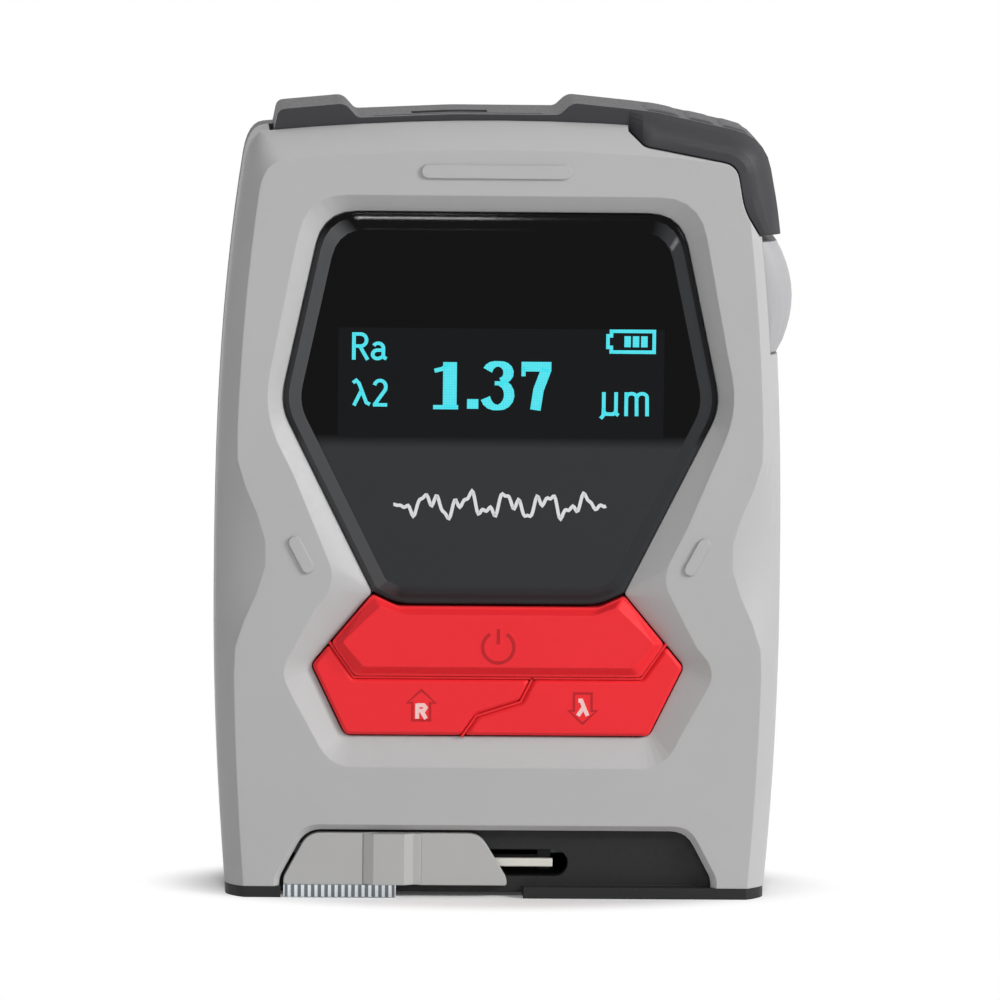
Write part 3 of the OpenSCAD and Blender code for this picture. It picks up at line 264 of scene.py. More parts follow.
@dataclass(frozen=True)
class LitPixels(Finish):
    """Light of a small matrix display: bright cells with thin dark gaps between them."""

    pitch: float = 0.32
    strength: float = 1.0
    unlit: str = "#0A1416"
    uneven: float = 0.94
    gap_light: float = 0.7
    gap_share: float = 0.07

    def make(self) -> bpy.types.Material:
        """Makes the material: a square grid of cells, upright on the lens, dims the light at each gap.

        Returns:
            The material.
        """
        material, tree, shader, place = self.start()
        upright = add(tree, "ShaderNodeMapping", {"Vector": place, "Rotation": (radians(90), 0, 0)})
        cells = add(tree, "ShaderNodeTexBrick", {
            "Vector": upright.outputs[0], "Color1": linear(self.colour),
            "Color2": linear(self.colour, self.uneven), "Mortar": linear(self.colour, self.gap_light),
            "Scale": per_mm(self.pitch), "Mortar Size": self.gap_share, "Mortar Smooth": 0.4,
            "Brick Width": 1.0, "Row Height": 1.0}, offset=0.0)
        tree.links.new(cells.outputs["Color"], shader.inputs["Emission Color"])
        shader.inputs["Base Color"].default_value = linear(self.unlit)
        shader.inputs["Emission Strength"].default_value = self.strength
        return material


@dataclass(frozen=True)
class Printed(Finish):
    """Pad-printed ink: an even colour that thins in tiny specks."""

    speck: float = 0.12
    thin: float = 0.86
    thick: float = 1.06

    def make(self) -> bpy.types.Material:
        """Makes the material: fine noise thins the ink a little.

        Returns:
            The material.
        """
        material, tree, shader, place = self.start()
        specks = add(tree, "ShaderNodeTexNoise", {
            "Vector": place, "Scale": per_mm(self.speck), "Detail": 1.0})
        tone = add(tree, "ShaderNodeMix", {
            0: specks.outputs[0], 6: linear(self.colour, self.thin),
            7: linear(self.colour, self.thick)}, data_type="RGBA")
        tree.links.new(tone.outputs[2], shader.inputs["Base Color"])
        return material


@dataclass(frozen=True)
class Metal(Finish):
    """Bare or plated metal with the fine lines of drawing, turning or brushing."""

    # Such lines are a few hundredths of a millimetre wide, and are drawn coarser here so that they show
    line: float = 0.15
    brush: Brush = Brush.ALONG_X
    depth: float = 0.004
    swing: float = 0.08
    least: float = 0.02
    dim: float = 0.9
    bright: float = 1.08

    def make(self) -> bpy.types.Material:
        """Makes the material: noise stretched along the brushing breaks the gloss and lifts fine lines.

        Returns:
            The material.
        """
        material, tree, shader, place = self.start()
        drawn = add(tree, "ShaderNodeMapping", {"Vector": place, "Scale": self.brush.value})
        lines = add(tree, "ShaderNodeTexNoise", {
            "Vector": drawn.outputs[0], "Scale": per_mm(self.line), "Detail": 2.0})
        gloss = add(tree, "ShaderNodeMapRange", {
            "Value": lines.outputs[0], "From Min": NOISE_LOW, "From Max": NOISE_HIGH,
            "To Min": max(self.roughness - self.swing, self.least), "To Max": self.roughness + self.swing})
        tone = add(tree, "ShaderNodeMix", {
            0: lines.outputs[0], 6: linear(self.colour, self.dim),
            7: linear(self.colour, self.bright)}, data_type="RGBA")
        bump = add(tree, "ShaderNodeBump", {
            "Height": lines.outputs[0], "Distance": self.depth * MM, "Strength": 0.5})
        tree.links.new(tone.outputs[2], shader.inputs["Base Color"])
        tree.links.new(gloss.outputs[0], shader.inputs["Roughness"])
        tree.links.new(bump.outputs[0], shader.inputs["Normal"])
        return material


@dataclass(frozen=True)
class RibbedMetal(Metal):
    """Bright metal with painted shade in the grooves between its upright ribs."""

    # Colour of the painted shade in the grooves, on the front only
    groove: str = "#6A7176"
    first_rib: float = -25.68
    rib_pitch: float = 0.8375
    rib_share: tuple[float, float] = (0.24, 0.38)
    front: float = -10.9

    def make(self) -> bpy.types.Material:
        """Makes the material: the way to the nearest rib, in shares of the pitch, paints shade into the
        grooves on the front.

        Returns:
            The material.
        """
        material = super().make()
        tree = material.node_tree
        shader = next(node for node in tree.nodes if node.type == "BSDF_PRINCIPLED")
        bright = shader.inputs["Base Color"].links[0].from_socket
        axes = add(tree, "ShaderNodeSeparateXYZ", {0: add(tree, "ShaderNodeTexCoord").outputs["Object"]})
        count = add(tree, "ShaderNodeMath", {
            0: axes.outputs["X"], 1: per_mm(self.rib_pitch), 2: -self.first_rib / self.rib_pitch},
            operation="MULTIPLY_ADD")
        away = add(tree, "ShaderNodeMath", {0: count.outputs[0], 1: 0.5}, operation="PINGPONG")
        gap = add(tree, "ShaderNodeMapRange", {
            "Value": away.outputs[0], "From Min": self.rib_share[0], "From Max": self.rib_share[1]})
        ahead = add(tree, "ShaderNodeMath", {
            0: axes.outputs["Y"], 1: self.front * MM}, operation="LESS_THAN")
        dull = add(tree, "ShaderNodeMath", {0: gap.outputs[0], 1: ahead.outputs[0]}, operation="MULTIPLY")
        tone = add(tree, "ShaderNodeMix", {
            0: dull.outputs[0], 6: bright, 7: linear(self.groove)}, data_type="RGBA")
        tree.links.new(tone.outputs[2], shader.inputs["Base Color"])
        return material


@dataclass(frozen=True)
class CircuitBoard(Finish):
    """Solder mask over copper: darker green where it lies on bare laminate, paler over the tracks."""

    track: str = "#2F8A50"
    pitch: float = 2.4
    rise: float = 0.03
    uneven: float = 0.85
    track_share: float = 0.08
    track_run: float = 2.2

    def make(self) -> bpy.types.Material:
        """Makes the material: a staggered grid of upright cells draws the tracks as its joints.

        Returns:
            The material.
        """
        material, tree, shader, place = self.start()
        upright = add(tree, "ShaderNodeMapping", {"Vector": place, "Rotation": (radians(90), 0, 0)})
        tracks = add(tree, "ShaderNodeTexBrick", {
            "Vector": upright.outputs[0], "Color1": linear(self.colour),
            "Color2": linear(self.colour, self.uneven), "Mortar": linear(self.track),
            "Scale": per_mm(self.pitch), "Mortar Size": self.track_share, "Brick Width": self.track_run,
            "Row Height": 1.0})
        relief = add(tree, "ShaderNodeBump", {
            "Height": tracks.outputs["Fac"], "Distance": self.rise * MM, "Strength": 0.5})
        tree.links.new(tracks.outputs["Color"], shader.inputs["Base Color"])
        tree.links.new(relief.outputs[0], shader.inputs["Normal"])
        return material


@dataclass(frozen=True)
class Foil(Finish):
    """Shrink-wrapped polyester film, with the soft creases that shrinking leaves."""

    crease: float = 5.0
    depth: float = 0.2
    drift: float = 0.2

    def make(self) -> bpy.types.Material:
        """Makes the material: broad noise lifts creases and shifts the colour.

        Returns:
            The material.
        """
        material, tree, shader, place = self.start()
        folds = add(tree, "ShaderNodeTexNoise", {
            "Vector": place, "Scale": per_mm(self.crease), "Detail": 3.0})
        tone = add(tree, "ShaderNodeMix", {
            0: folds.outputs[0], 6: linear(self.colour, 1 - self.drift),
            7: linear(self.colour, 1 + self.drift)}, data_type="RGBA")
        bump = add(tree, "ShaderNodeBump", {
            "Height": folds.outputs[0], "Distance": self.depth * MM, "Strength": 0.5})
        tree.links.new(tone.outputs[2], shader.inputs["Base Color"])
        tree.links.new(bump.outputs[0], shader.inputs["Normal"])
        return material


def bow(middle: tuple[float, float], reach: tuple[float, float], start: float, end: float) -> Path:
    """Works out an arc of an ellipse in equal steps of its angle.

    Args:
        middle: middle of the ellipse.
        reach: its two half axes.
        start: angle of the first point, in degrees, from the right and turning up.
        end: angle of the last point.

    Returns:
        Points of the arc.
    """
    angle = np.radians(np.linspace(start, end, ARC_POINTS))
    points = np.array(middle) + np.stack([np.cos(angle), np.sin(angle)], 1) * np.array(reach)
    return tuple((float(x), float(z)) for x, z in points)


def stroke(path: np.ndarray, widths: tuple[float, float], level: float, proud: float,
           closed: bool = False) -> tuple[np.ndarray, np.ndarray]:
    """Carries a flat bar along a path on an upright face that looks towards -Y.

    At each point the bar's corners lie half its width to both sides of the path, along the bisector of the
    path's corner and stretched by the mitre, once on the face and once in front of it. The width goes from
    the first value to the second as the path turns from lying to upright.

    Args:
        path: points of x and z, in millimetres.
        widths: width of the bar where it lies and where it is upright.
        level: y of the carrying face.
        proud: height of the bar in front of the face.
        closed: whether the path's end joins its start.

    Returns:
        Vertices in metres and quads that point outwards.
    """
    count = len(path)
    ahead = np.roll(path, -1, axis=0) - path
    if not closed:
        ahead[-1] = ahead[-2]
    ahead /= np.linalg.norm(ahead, axis=1, keepdims=True)
    before = np.roll(ahead, 1, axis=0)
    if not closed:
        before[0] = ahead[0]
    left = np.stack([-ahead[:, 1], ahead[:, 0]], 1) + np.stack([-before[:, 1], before[:, 0]], 1)
    left /= np.maximum((left * left).sum(1, keepdims=True) / 2, MITRE_FLOOR)
    rise = np.abs(ahead[:, 1:] + before[:, 1:]) / 2
    reach = left * (widths[0] + (widths[1] - widths[0]) * rise) / 2
    sides = np.stack([path + reach, path - reach, path - reach, path + reach], 1)
    depth = np.broadcast_to(np.array([level - proud, level - proud, level, level]), (count, 4))
    vertices = np.stack([sides[..., 0], depth, sides[..., 1]], 2).reshape(-1, 3) * MM
    along = np.arange(count if closed else count - 1)[:, None]
    corner = np.arange(4)[None, :]
    after = (along + 1) % count
    turn = (corner + 1) % 4
    quads = np.stack([4 * along + corner, 4 * along + turn, 4 * after + turn, 4 * after + corner], 2)
    quads = quads.reshape(-1, 4)
    if not closed:
        caps = np.array([[0, 3, 2, 1], [4 * count - 4, 4 * count - 3, 4 * count - 2, 4 * count - 1]])
        quads = np.concatenate([quads, caps])
    return vertices, quads


def crowned(low: np.ndarray, high: np.ndarray) -> tuple[np.ndarray, np.ndarray]:
    """Closes the room between two grids of equal size with quads.

    The lower grid's faces are turned round, and the walls join the two grids along their borders.

    Args:
        low: lower grid of points, in millimetres.
        high: upper grid of points.

    Returns:
        Vertices in metres and quads that point outwards.
    """
    rows, columns = high.shape[:2]
    vertices = np.concatenate([high.reshape(-1, 3), low.reshape(-1, 3)]) * MM
    place = np.arange(rows * columns).reshape(rows, columns)
    top = np.stack([place[:-1, :-1], place[1:, :-1], place[1:, 1:], place[:-1, 1:]], 2).reshape(-1, 4)
    border = np.concatenate([place[0, :-1], place[:-1, -1], place[-1, :0:-1], place[:0:-1, 0]])
    after = np.roll(border, -1)
    under = rows * columns
    walls = np.stack([border, after, after + under, border + under], 1)
    return vertices, np.concatenate([top, top[:, ::-1] + under, walls])


def joined(parts: list[tuple[np.ndarray, np.ndarray]]) -> tuple[np.ndarray, np.ndarray]:
    """Puts several meshes of quads into one.

    Args:
        parts: vertices and quads of each mesh.

    Returns:
        All vertices and all quads.
    """
    starts = np.cumsum([0] + [len(vertices) for vertices, _ in parts[:-1]])
    return (np.concatenate([vertices for vertices, _ in parts]),
            np.concatenate([quads + start for (_, quads), start in zip(parts, starts)]))


def piece(name: str, shape: tuple[np.ndarray, np.ndarray], finish: Finish, rider: Rider,
          smooth: bool = False) -> bpy.types.Object:
    """Makes a piece from arrays, gives it its finish and lets it ride on a body.

    Args:
        name: name of the piece.
        shape: vertices and quads.
        finish: finish of the piece.
        rider: body that carries it.
        smooth: whether its shallow edges are shaded as one curve.

    Returns:
        The new object.
    """
    vertices, quads = shape
    mesh = bpy.data.meshes.new(name)
    mesh.from_pydata(vertices.tolist(), [], quads.tolist())
    if smooth:
        mesh.shade_smooth()
        mesh.set_sharp_from_angle(angle=radians(SHARP_ANGLE))
    mesh.materials.append(finish.make())
    made = bpy.data.objects.new(name, mesh)
    bpy.context.scene.collection.objects.link(made)
    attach(made, rider.value)
    LOG.info("%s: %d quads on %s", name, len(quads), rider.value)
    return made


def facet_group() -> bpy.types.NodeTree:
    """Makes the modifier group that joins a CAD node's loose triangles and smooths its small facets.

    Edges whose faces meet at more than the limit stay sharp.

    Returns:
        The geometry node group.
    """
    group = bpy.data.node_groups.new("smooth_facets", "GeometryNodeTree")
    group.interface.new_socket("Geometry", in_out="INPUT", socket_type="NodeSocketGeometry")
    group.interface.new_socket("Geometry", in_out="OUTPUT", socket_type="NodeSocketGeometry")
    start = add(group, "NodeGroupInput")
    bare = add(group, "GeometryNodeRemoveAttribute", {"Geometry": start.outputs[0], "Name": "custom_normal"})
    whole = add(group, "GeometryNodeMergeByDistance", {"Geometry": bare.outputs[0], "Distance": JOIN_GAP})
    faces = add(group, "GeometryNodeSetShadeSmooth", {"Geometry": whole.outputs[0], "Shade Smooth": True})
    bend = add(group, "GeometryNodeInputMeshEdgeAngle")
    soft = add(group, "FunctionNodeCompare", {
        0: bend.outputs[0], 1: radians(FACET_LIMIT)}, operation="LESS_THAN")
    edges = add(group, "GeometryNodeSetShadeSmooth", {
        "Geometry": faces.outputs[0], "Shade Smooth": soft.outputs[0]}, domain="EDGE")
    add(group, "NodeGroupOutput", {0: edges.outputs[0]})
    return group


def dress(nodes: str, finish: Finish) -> None:
    """Gives CAD nodes a finish and shades their facets smoothly.

    Args:
        nodes: names of the nodes, parted by spaces.
        finish: finish of all of them.
    """
    material = finish.make()
    group = bpy.data.node_groups.get("smooth_facets") or facet_group()
    for name in nodes.split():
        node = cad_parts[name]
        node.data.materials.clear()
        node.data.materials.append(material)
        node.modifiers.new("Facets", "NODES").node_group = group
        normals = node.modifiers.new("Normals", "WEIGHTED_NORMAL")
        normals.keep_sharp = True
        LOG.info("%s: %s", name, finish.name)


@dataclass
class Housing:
    """Two-part moulded housing, its measuring foot, side key and screws."""

    ribs: tuple[tuple[float, float], ...] = ((17.6, 22.3), (22.9, 26.5), (27.1, 30.8))
    rib_front: float = -7.0
    rib_back: float = 6.8
    rib_rise: float = 0.3
    rib_sunk: float = 0.12
    rib_steps: int = 25
    crown_across: int = 6
    crown_along: int = 12
    crest_x: tuple[float, ...] = (16, 18, 20, 22, 24, 26, 28, 30, 31)
    crest_z: tuple[float, ...] = (98.37, 98.15, 97.82, 97.39, 96.96, 96.52, 96.09, 95.52, 94.96)

    def grip_ribs(self) -> list:
        """Works out the ribs on the grip bar: its crest, lifted by a flat crown with steep sides.

        Returns:
            Meshes of the ribs.
        """
        span = np.linspace(-1, 1, self.rib_steps)
        across, along = np.meshgrid(span, span)
        fall = (1 - across ** self.crown_across) * (1 - along ** self.crown_along)
        crown = (self.rib_rise + self.rib_sunk) * fall
        meshes = []
        for left, right in self.ribs:
            x = (left + right) / 2 + across * (right - left) / 2
            y = (self.rib_front + self.rib_back) / 2 + along * (self.rib_back - self.rib_front) / 2
            seat = np.interp(x, self.crest_x, self.crest_z) - self.rib_sunk
            low = np.stack([x, y, seat - self.rib_sunk], 2)
            meshes.append(crowned(low, np.stack([x, y, seat + crown], 2)))
        return meshes

    def build(self) -> None:
        """Gives the shells, the foot, the side key and the screws their finish, and adds the ribs."""
        # Light grey ABS from a finely eroded tool: satin, with faint clouds
        dress("front_housing", Moulded("ABS light grey moulded", "#AFAFAF", 0.46, specular=0.4))
        # The side key is the housing's grey, made darker here as painted shade because the lamp on the right
        # lights it more
        dress("side_key", Moulded("ABS light grey key", "#A3A3A5", 0.42, specular=0.4))
        # Dark grey ABS with the same fine grain: satin, a little paler where light grazes it
        dark = Moulded("ABS dark grey moulded", "#343437", 0.5, specular=0.3, drift=0.08)
        dress("rear_housing", dark)
        piece("grip_ribs", joined(self.grip_ribs()), dark, Rider.BODY, smooth=True)
        # Black glass-filled nylon: dull, with a coarse grain
        dress("base", Moulded("nylon black glass filled", "#1C1C1D", 0.55, specular=0.3, grain=0.6,
                              depth=0.02))
        # Zinc-plated steel, turned and then tumbled bright
        dress("housing_screws", Metal("steel zinc plated", "#A9ABAE", 0.3, metallic=1.0,
                                      brush=Brush.ALONG_Y))


@dataclass
class Display:
    """Gloss lens with the lit reading behind it and a printed trace below."""

    face: float = -11.5
    proud: float = 0.03
    trace_half: float = 13.2
    trace_z: float = 49.3
    trace_height: float = 2.0
    trace_w: float = 0.42
    trace_points: int = 161
    fade_power: int = 8
    waves: tuple[tuple[float, float, float], ...] = ((0.5, 17, 0.4), (0.34, 41, 0), (0.2, 73, 1.1))

    def glyph(self, box: tuple[float, float, float, float], strokes: tuple[tuple[Path, Pen], ...]) -> list:
        """Draws one figure with strokes in a unit square, stretched to its box.

        Args:
            box: left, low, right and high side, in millimetres.
            strokes: paths in the unit square with their pens.

        Returns:
            Meshes of the strokes.
        """
        low = np.array(box[:2])
        size = np.array(box[2:]) - low
        return [stroke(low + np.array(path) * size, pen.value, self.face, self.proud)
                for path, pen in strokes]

    def reading(self) -> list:
        """Draws the reading: parameter, wavelength, value with its unit, and the battery's charge.

        Returns:
            Meshes of all strokes.
        """
        letter_r = (((0.1, 0), (0.1, 1)), Pen.SMALL), (
            ((0.1, 0.94), *bow((0.5, 0.72), (0.34, 0.22), 90, -90), (0.1, 0.5)), Pen.SMALL), (
            ((0.45, 0.5), (0.92, 0)), Pen.SMALL)
        letter_a = ((*bow((0.46, 0.66), (0.32, 0.28), 150, 0), (0.78, 0.16), (0.98, 0.06)), Pen.SMALL), (
            ((0.78, 0.56), *bow((0.42, 0.31), (0.3, 0.24), 80, 290), (0.78, 0.2)), Pen.SMALL)
        letter_l = (((0.02, 0.86), (0.2, 0.95), (0.36, 0.84), (0.78, 0.14), (0.98, 0.07)), Pen.SMALL), (
            ((0.5, 0.58), (0.08, 0.03)), Pen.SMALL)
        two = ((*bow((0.5, 0.72), (0.4, 0.23), 165, -35), (0.12, 0.06)), Pen.SMALL), (
            ((0.02, 0.06), (1.0, 0.06)), Pen.SMALL)
        one = (((0.66, 0.98), (0.66, 0.02)), Pen.STEM), (
            ((0.04, 0.8), (0.36, 0.84), (0.62, 0.95)), Pen.HAIR), (((0.0, 0.045), (1.0, 0.045)), Pen.HAIR)
        point = (((0.0, 0.5), (1.0, 0.5)), Pen.FULL),
        three = (bow((0.44, 0.77), (0.34, 0.185), 165, -75), Pen.SWELL), (
            bow((0.42, 0.31), (0.39, 0.265), 75, -165), Pen.SWELL), (((0.34, 0.55), (0.6, 0.55)), Pen.HAIR)
        seven = (((0.0, 0.9), (1.0, 0.9)), Pen.FULL), (((0.07, 0.9), (0.07, 0.7)), Pen.HAIR), (
            ((0.84, 0.86), (0.58, 0.42), (0.48, 0.0)), Pen.FULL)
        micro = (((0.2, 1.0), (0.2, 0.26), (0.34, 0.17), (0.72, 0.17), (0.86, 0.28)), Pen.SMALL), (
            ((0.86, 1.0), (0.86, 0.2), (1.0, 0.12)), Pen.SMALL), (
            ((0.2, 0.4), (0.18, 0.12), (0.04, 0.0)), Pen.SMALL)
        letter_m = (((0.08, 0.1), (0.08, 1.0)), Pen.SMALL), (
            ((0.08, 0.8), *bow((0.29, 0.8), (0.2, 0.15), 150, 0), (0.5, 0.1)), Pen.SMALL), (
            ((0.5, 0.8), *bow((0.71, 0.8), (0.2, 0.15), 150, 0), (0.92, 0.1)), Pen.SMALL)
        cell = (((0.1, 0.07), (0.97, 0.07), (0.97, 0.93), (0.1, 0.93)), Pen.SMALL), (
            ((0.1, 1.0), (0.1, 0.74), (0.03, 0.74), (0.03, 0.26), (0.1, 0.26), (0.1, 0.0)), Pen.SMALL)
        bars = tuple((((x, 0.27), (x, 0.73)), Pen.BAR) for x in (0.43, 0.6, 0.77))
        boxes = [((-18.5, 67.3, -16.4, 70.7), letter_r), ((-16.2, 67.3, -14.2, 69.5), letter_a),
                 ((-18.4, 61.5, -16.2, 64.9), letter_l), ((-15.9, 61.5, -14.1, 64.9), two),
                 ((-8.4, 61.2, -5.3, 67.2), one), ((-4.2, 61.3, -2.8, 62.5), point),
                 ((-2.1, 61.2, 1.75, 67.2), three), ((2.5, 61.2, 6.2, 67.2), seven),
                 ((12.3, 60.2, 14.6, 63.5), micro), ((15.3, 60.2, 18.4, 63.5), letter_m),
                 ((13.0, 68.3, 19.1, 71.3), cell), ((13.0, 68.3, 19.1, 71.3), bars)]
        return [mesh for box, strokes in boxes for mesh in self.glyph(box, strokes)]

    def trace(self) -> np.ndarray:
        """Works out the printed roughness trace: sine waves of unlike length, fading out at both ends.

        Each wave has its share of the height, its turn from the middle to an end, and its angle in the
        middle, both in radians.

        Returns:
            Points of x and z, in millimetres.
        """
        t = np.linspace(-1, 1, self.trace_points)
        fade = 1 - t ** self.fade_power
        wave = sum(share * np.sin(turn * t + start) for share, turn, start in self.waves)
        return np.stack([self.trace_half * t, self.trace_z + self.trace_height * fade * wave], 1)

    def build(self) -> None:
        """Dresses the lens and adds the reading and the trace."""
        # Polished acrylic, black from behind: a hard clear gloss over a deep tone, with painted reflections
        # on its lower part and its bevels
        dress("display_lens", GlossLens("acrylic gloss black printed", "#050506", 0.06, specular=0.08))
        # Light of the panel: cyan cells that stand out from the dark
        lit = LitPixels("OLED cyan lit pixels", "#45E6F2", 0.4)
        piece("lit_reading", joined(self.reading()), lit, Rider.BODY)
        # White pad-printed ink, matt beside the gloss
        ink = Printed("ink white pad printed", "#DCDEE0", 0.5)
        bar = stroke(self.trace(), (self.trace_w, self.trace_w), self.face, self.proud)
        piece("printed_trace", bar, ink, Rider.BODY)


@dataclass
class Keypad:
    """Three red front keys with outlined signs, pale letters and thin webs between them."""

    power_face: float = -12.3
    lower_face: float = -11.2
    power_z: float = 31.6
    ring_r: float = 1.95
    line_w: float = 0.42
    ring_gap: float = 32.0
    ring_points: int = 49
    bar_foot: float = 0.4
    bar_over: float = 0.35
    arrow_x: tuple[float, float] = (-9.45, 10.65)
    arrow_z: float = 24.0
    arrow_w: float = 0.3
    arrow_half: Path = ((1.1, -1.75), (1.1, 0.45), (1.75, 0.45))
    arrow_tip: float = 2.05
    letter_w: float = 0.5
    letter_drop: tuple[float, float] = (0.6, 0.1)
    parameter_sign: tuple[Path, ...] = (
        ((-0.5, -0.95), (-0.5, 0.95)), ((-0.5, 0.75), (0.3, 0.75), (0.55, 0.45), (0.3, 0.05), (-0.5, 0.05)),
        ((0.0, 0.05), (0.6, -0.95)))
    wavelength_sign: tuple[Path, ...] = (
        ((-0.55, 0.95), (-0.2, 0.95), (0.6, -0.95)), ((0.1, 0.1), (-0.6, -0.95)))
    proud: float = 0.012
    letter_proud: float = 0.03
    layer: float = 0.006
    web_face: float = -11.05
    web_w: float = 0.3
    web_d: float = 1.6
    web_line: Path = ((-20.94, 31.92), (-17.9, 27.6), (17.9, 27.6), (20.94, 31.92))
    step_line: Path = ((-4.4, 20.2), (-2.6, 22.8), (2.9, 24.6), (4.4, 27.6))

    def power_mark(self) -> list:
        """Draws the power sign: a ring open above, an arc of equal steps, with a short bar in its gap.

        Returns:
            Meshes of the ring and the bar.
        """
        angle = np.radians(np.linspace(90 + self.ring_gap, 450 - self.ring_gap, self.ring_points))
        ring = np.stack([self.ring_r * np.cos(angle), self.power_z + self.ring_r * np.sin(angle)], 1)
        bar = np.array([[0, self.power_z + self.bar_foot], [0, self.power_z + self.ring_r + self.bar_over]])
        return [stroke(path, (self.line_w, self.line_w), self.power_face, self.proud)
                for path in (ring, bar)]

    def arrow(self, side: int) -> list:
        """Draws the arrow outline of a lower key, pointing up on the left key and down on the right one.

        Args:
            side: -1 for the left key, 1 for the right one.

        Returns:
            Mesh of the closed outline.
        """
        left = [(-x, z) for x, z in reversed(self.arrow_half)]
        shape = np.array([(0, self.arrow_tip), *left, *self.arrow_half])
        path = np.array([self.arrow_x[side > 0], self.arrow_z]) + shape * np.array([1, -side])
        return [stroke(path, (self.arrow_w, self.arrow_w), self.lower_face, self.proud, closed=True)]

    def letter(self, side: int) -> list:
        """Draws the letter inside an arrow: the parameter's on the left, the wavelength's on the right.

        Args:
            side: -1 for the left key, 1 for the right one.

        Returns:
            Meshes of its strokes.
        """
        strokes = (self.parameter_sign, self.wavelength_sign)[side > 0]
        middle = np.array([self.arrow_x[side > 0], self.arrow_z - self.letter_drop[side > 0]])
        return [stroke(middle + np.array(path), (self.letter_w, self.letter_w), self.lower_face,
                       self.letter_proud + self.layer * i) for i, path in enumerate(strokes)]

    def web(self) -> list:
        """Draws the thin webs that close the gaps between the keys, held by the opening's walls.

        Returns:
            Meshes of the webs.
        """
        return [stroke(np.array(path), (self.web_w, self.web_w), self.web_face + self.web_d, self.web_d)
                for path in (self.web_line, self.step_line)]

    def build(self) -> None:
        """Dresses the keys and adds their marks."""
        # Red ABS with a soft-touch grain: strong colour, low gloss
        red = Moulded("ABS red moulded keys", "#EA2931", 0.48, specular=0.25, grain=0.35, drift=0.04)
        dress("power_key parameter_key cutoff_key", red)
        piece("key_web", joined(self.web()), red, Rider.BODY)
        # Outlines that are sunk in a real key, drawn here as a deeper red line of painted shade
        sunk = Printed("ABS red sunk line painted shade", "#B81820", 0.55, specular=0.3)
        # Pale ink filled into the letters
        pale = Printed("ink pale filled letter", "#F4C9C6", 0.5)
        piece("power_mark", joined(self.power_mark()), sunk, Rider.POWER)
        for side, rider, word in ((-1, Rider.PARAMETER, "parameter"), (1, Rider.CUTOFF, "cutoff")):
            piece(f"{word}_arrow", joined(self.arrow(side)), sunk, rider)
            piece(f"{word}_letter", joined(self.letter(side)), pale, rider)


@dataclass
class Shutter:
    """Sliding shutter with its thumb ridge, ribbed sheet, shoe and rail."""

    face: float = -11.7
    groove: float = -10.82
    ridge_rise: float = 0.55
    ridge_low: float = 1.65
    ridge_high: float = 8.05
    ridge_foot: tuple[float, float] = (-16.6, -9.2)
    ridge_rest: tuple[float, float] = (-16.45, -10.3)
    ridge_top: tuple[float, float] = (-15.25, -11.4)
    ridge_lap: float = 0.003
    ridge_back: tuple[float, float] = (-14.7, -11.1)
    ridge_columns: int = 13
    ridge_rows: int = 3

    def thumb_ridge(self) -> tuple[np.ndarray, np.ndarray]:
        """Works out the ridge that fills the groove: two straight slopes up to a flat top, along the plate.

        Returns:
            Vertices and quads of the closed ridge.
        """
        columns = np.linspace(*self.ridge_foot, self.ridge_columns)
        x = np.sort(np.concatenate([columns, self.ridge_rest, self.ridge_top, self.ridge_back]))
        slopes = (self.ridge_rest[0], *self.ridge_top, self.ridge_rest[1])
        lift = self.ridge_lap + np.interp(x, slopes, (0, self.ridge_rise, self.ridge_rise, 0))
        seat = self.face + self.ridge_lap
        deep = np.interp(x, (self.ridge_foot[0], *self.ridge_back, self.ridge_foot[1]),
                         (seat, self.groove, self.groove, seat))
        rows = np.linspace(self.ridge_low, self.ridge_high, self.ridge_rows)[:, None]
        front = np.stack(np.broadcast_arrays(x, self.face - lift, rows), 2)
        back = np.stack(np.broadcast_arrays(x, deep, rows), 2)
        return crowned(back, front)

    def build(self) -> None:
        """Dresses the shutter's pieces."""
        # Painted zinc casting: smooth satin grey
        paint = Moulded("paint satin grey on zinc", "#ABABAA", 0.36, grain=0.5, depth=0.006)
        dress("shutter", paint)
        piece("thumb_ridge", self.thumb_ridge(), paint, Rider.SHUTTER)
        # Chromed spring steel: bright, with fine drawing lines and painted shade in the grooves
        dress("shutter_grip", RibbedMetal("steel bright chromed", "#DDE2E6", 0.16, metallic=1.0,
                                          brush=Brush.ALONG_Z))
        # Black acetal shoe, slightly waxy
        dress("shutter_shoe", Moulded("acetal black", "#333335", 0.42))
        # Pale acetal rail
        dress("shutter_rail", Moulded("acetal ivory", "#D6D5CC", 0.4, grain=0.3))


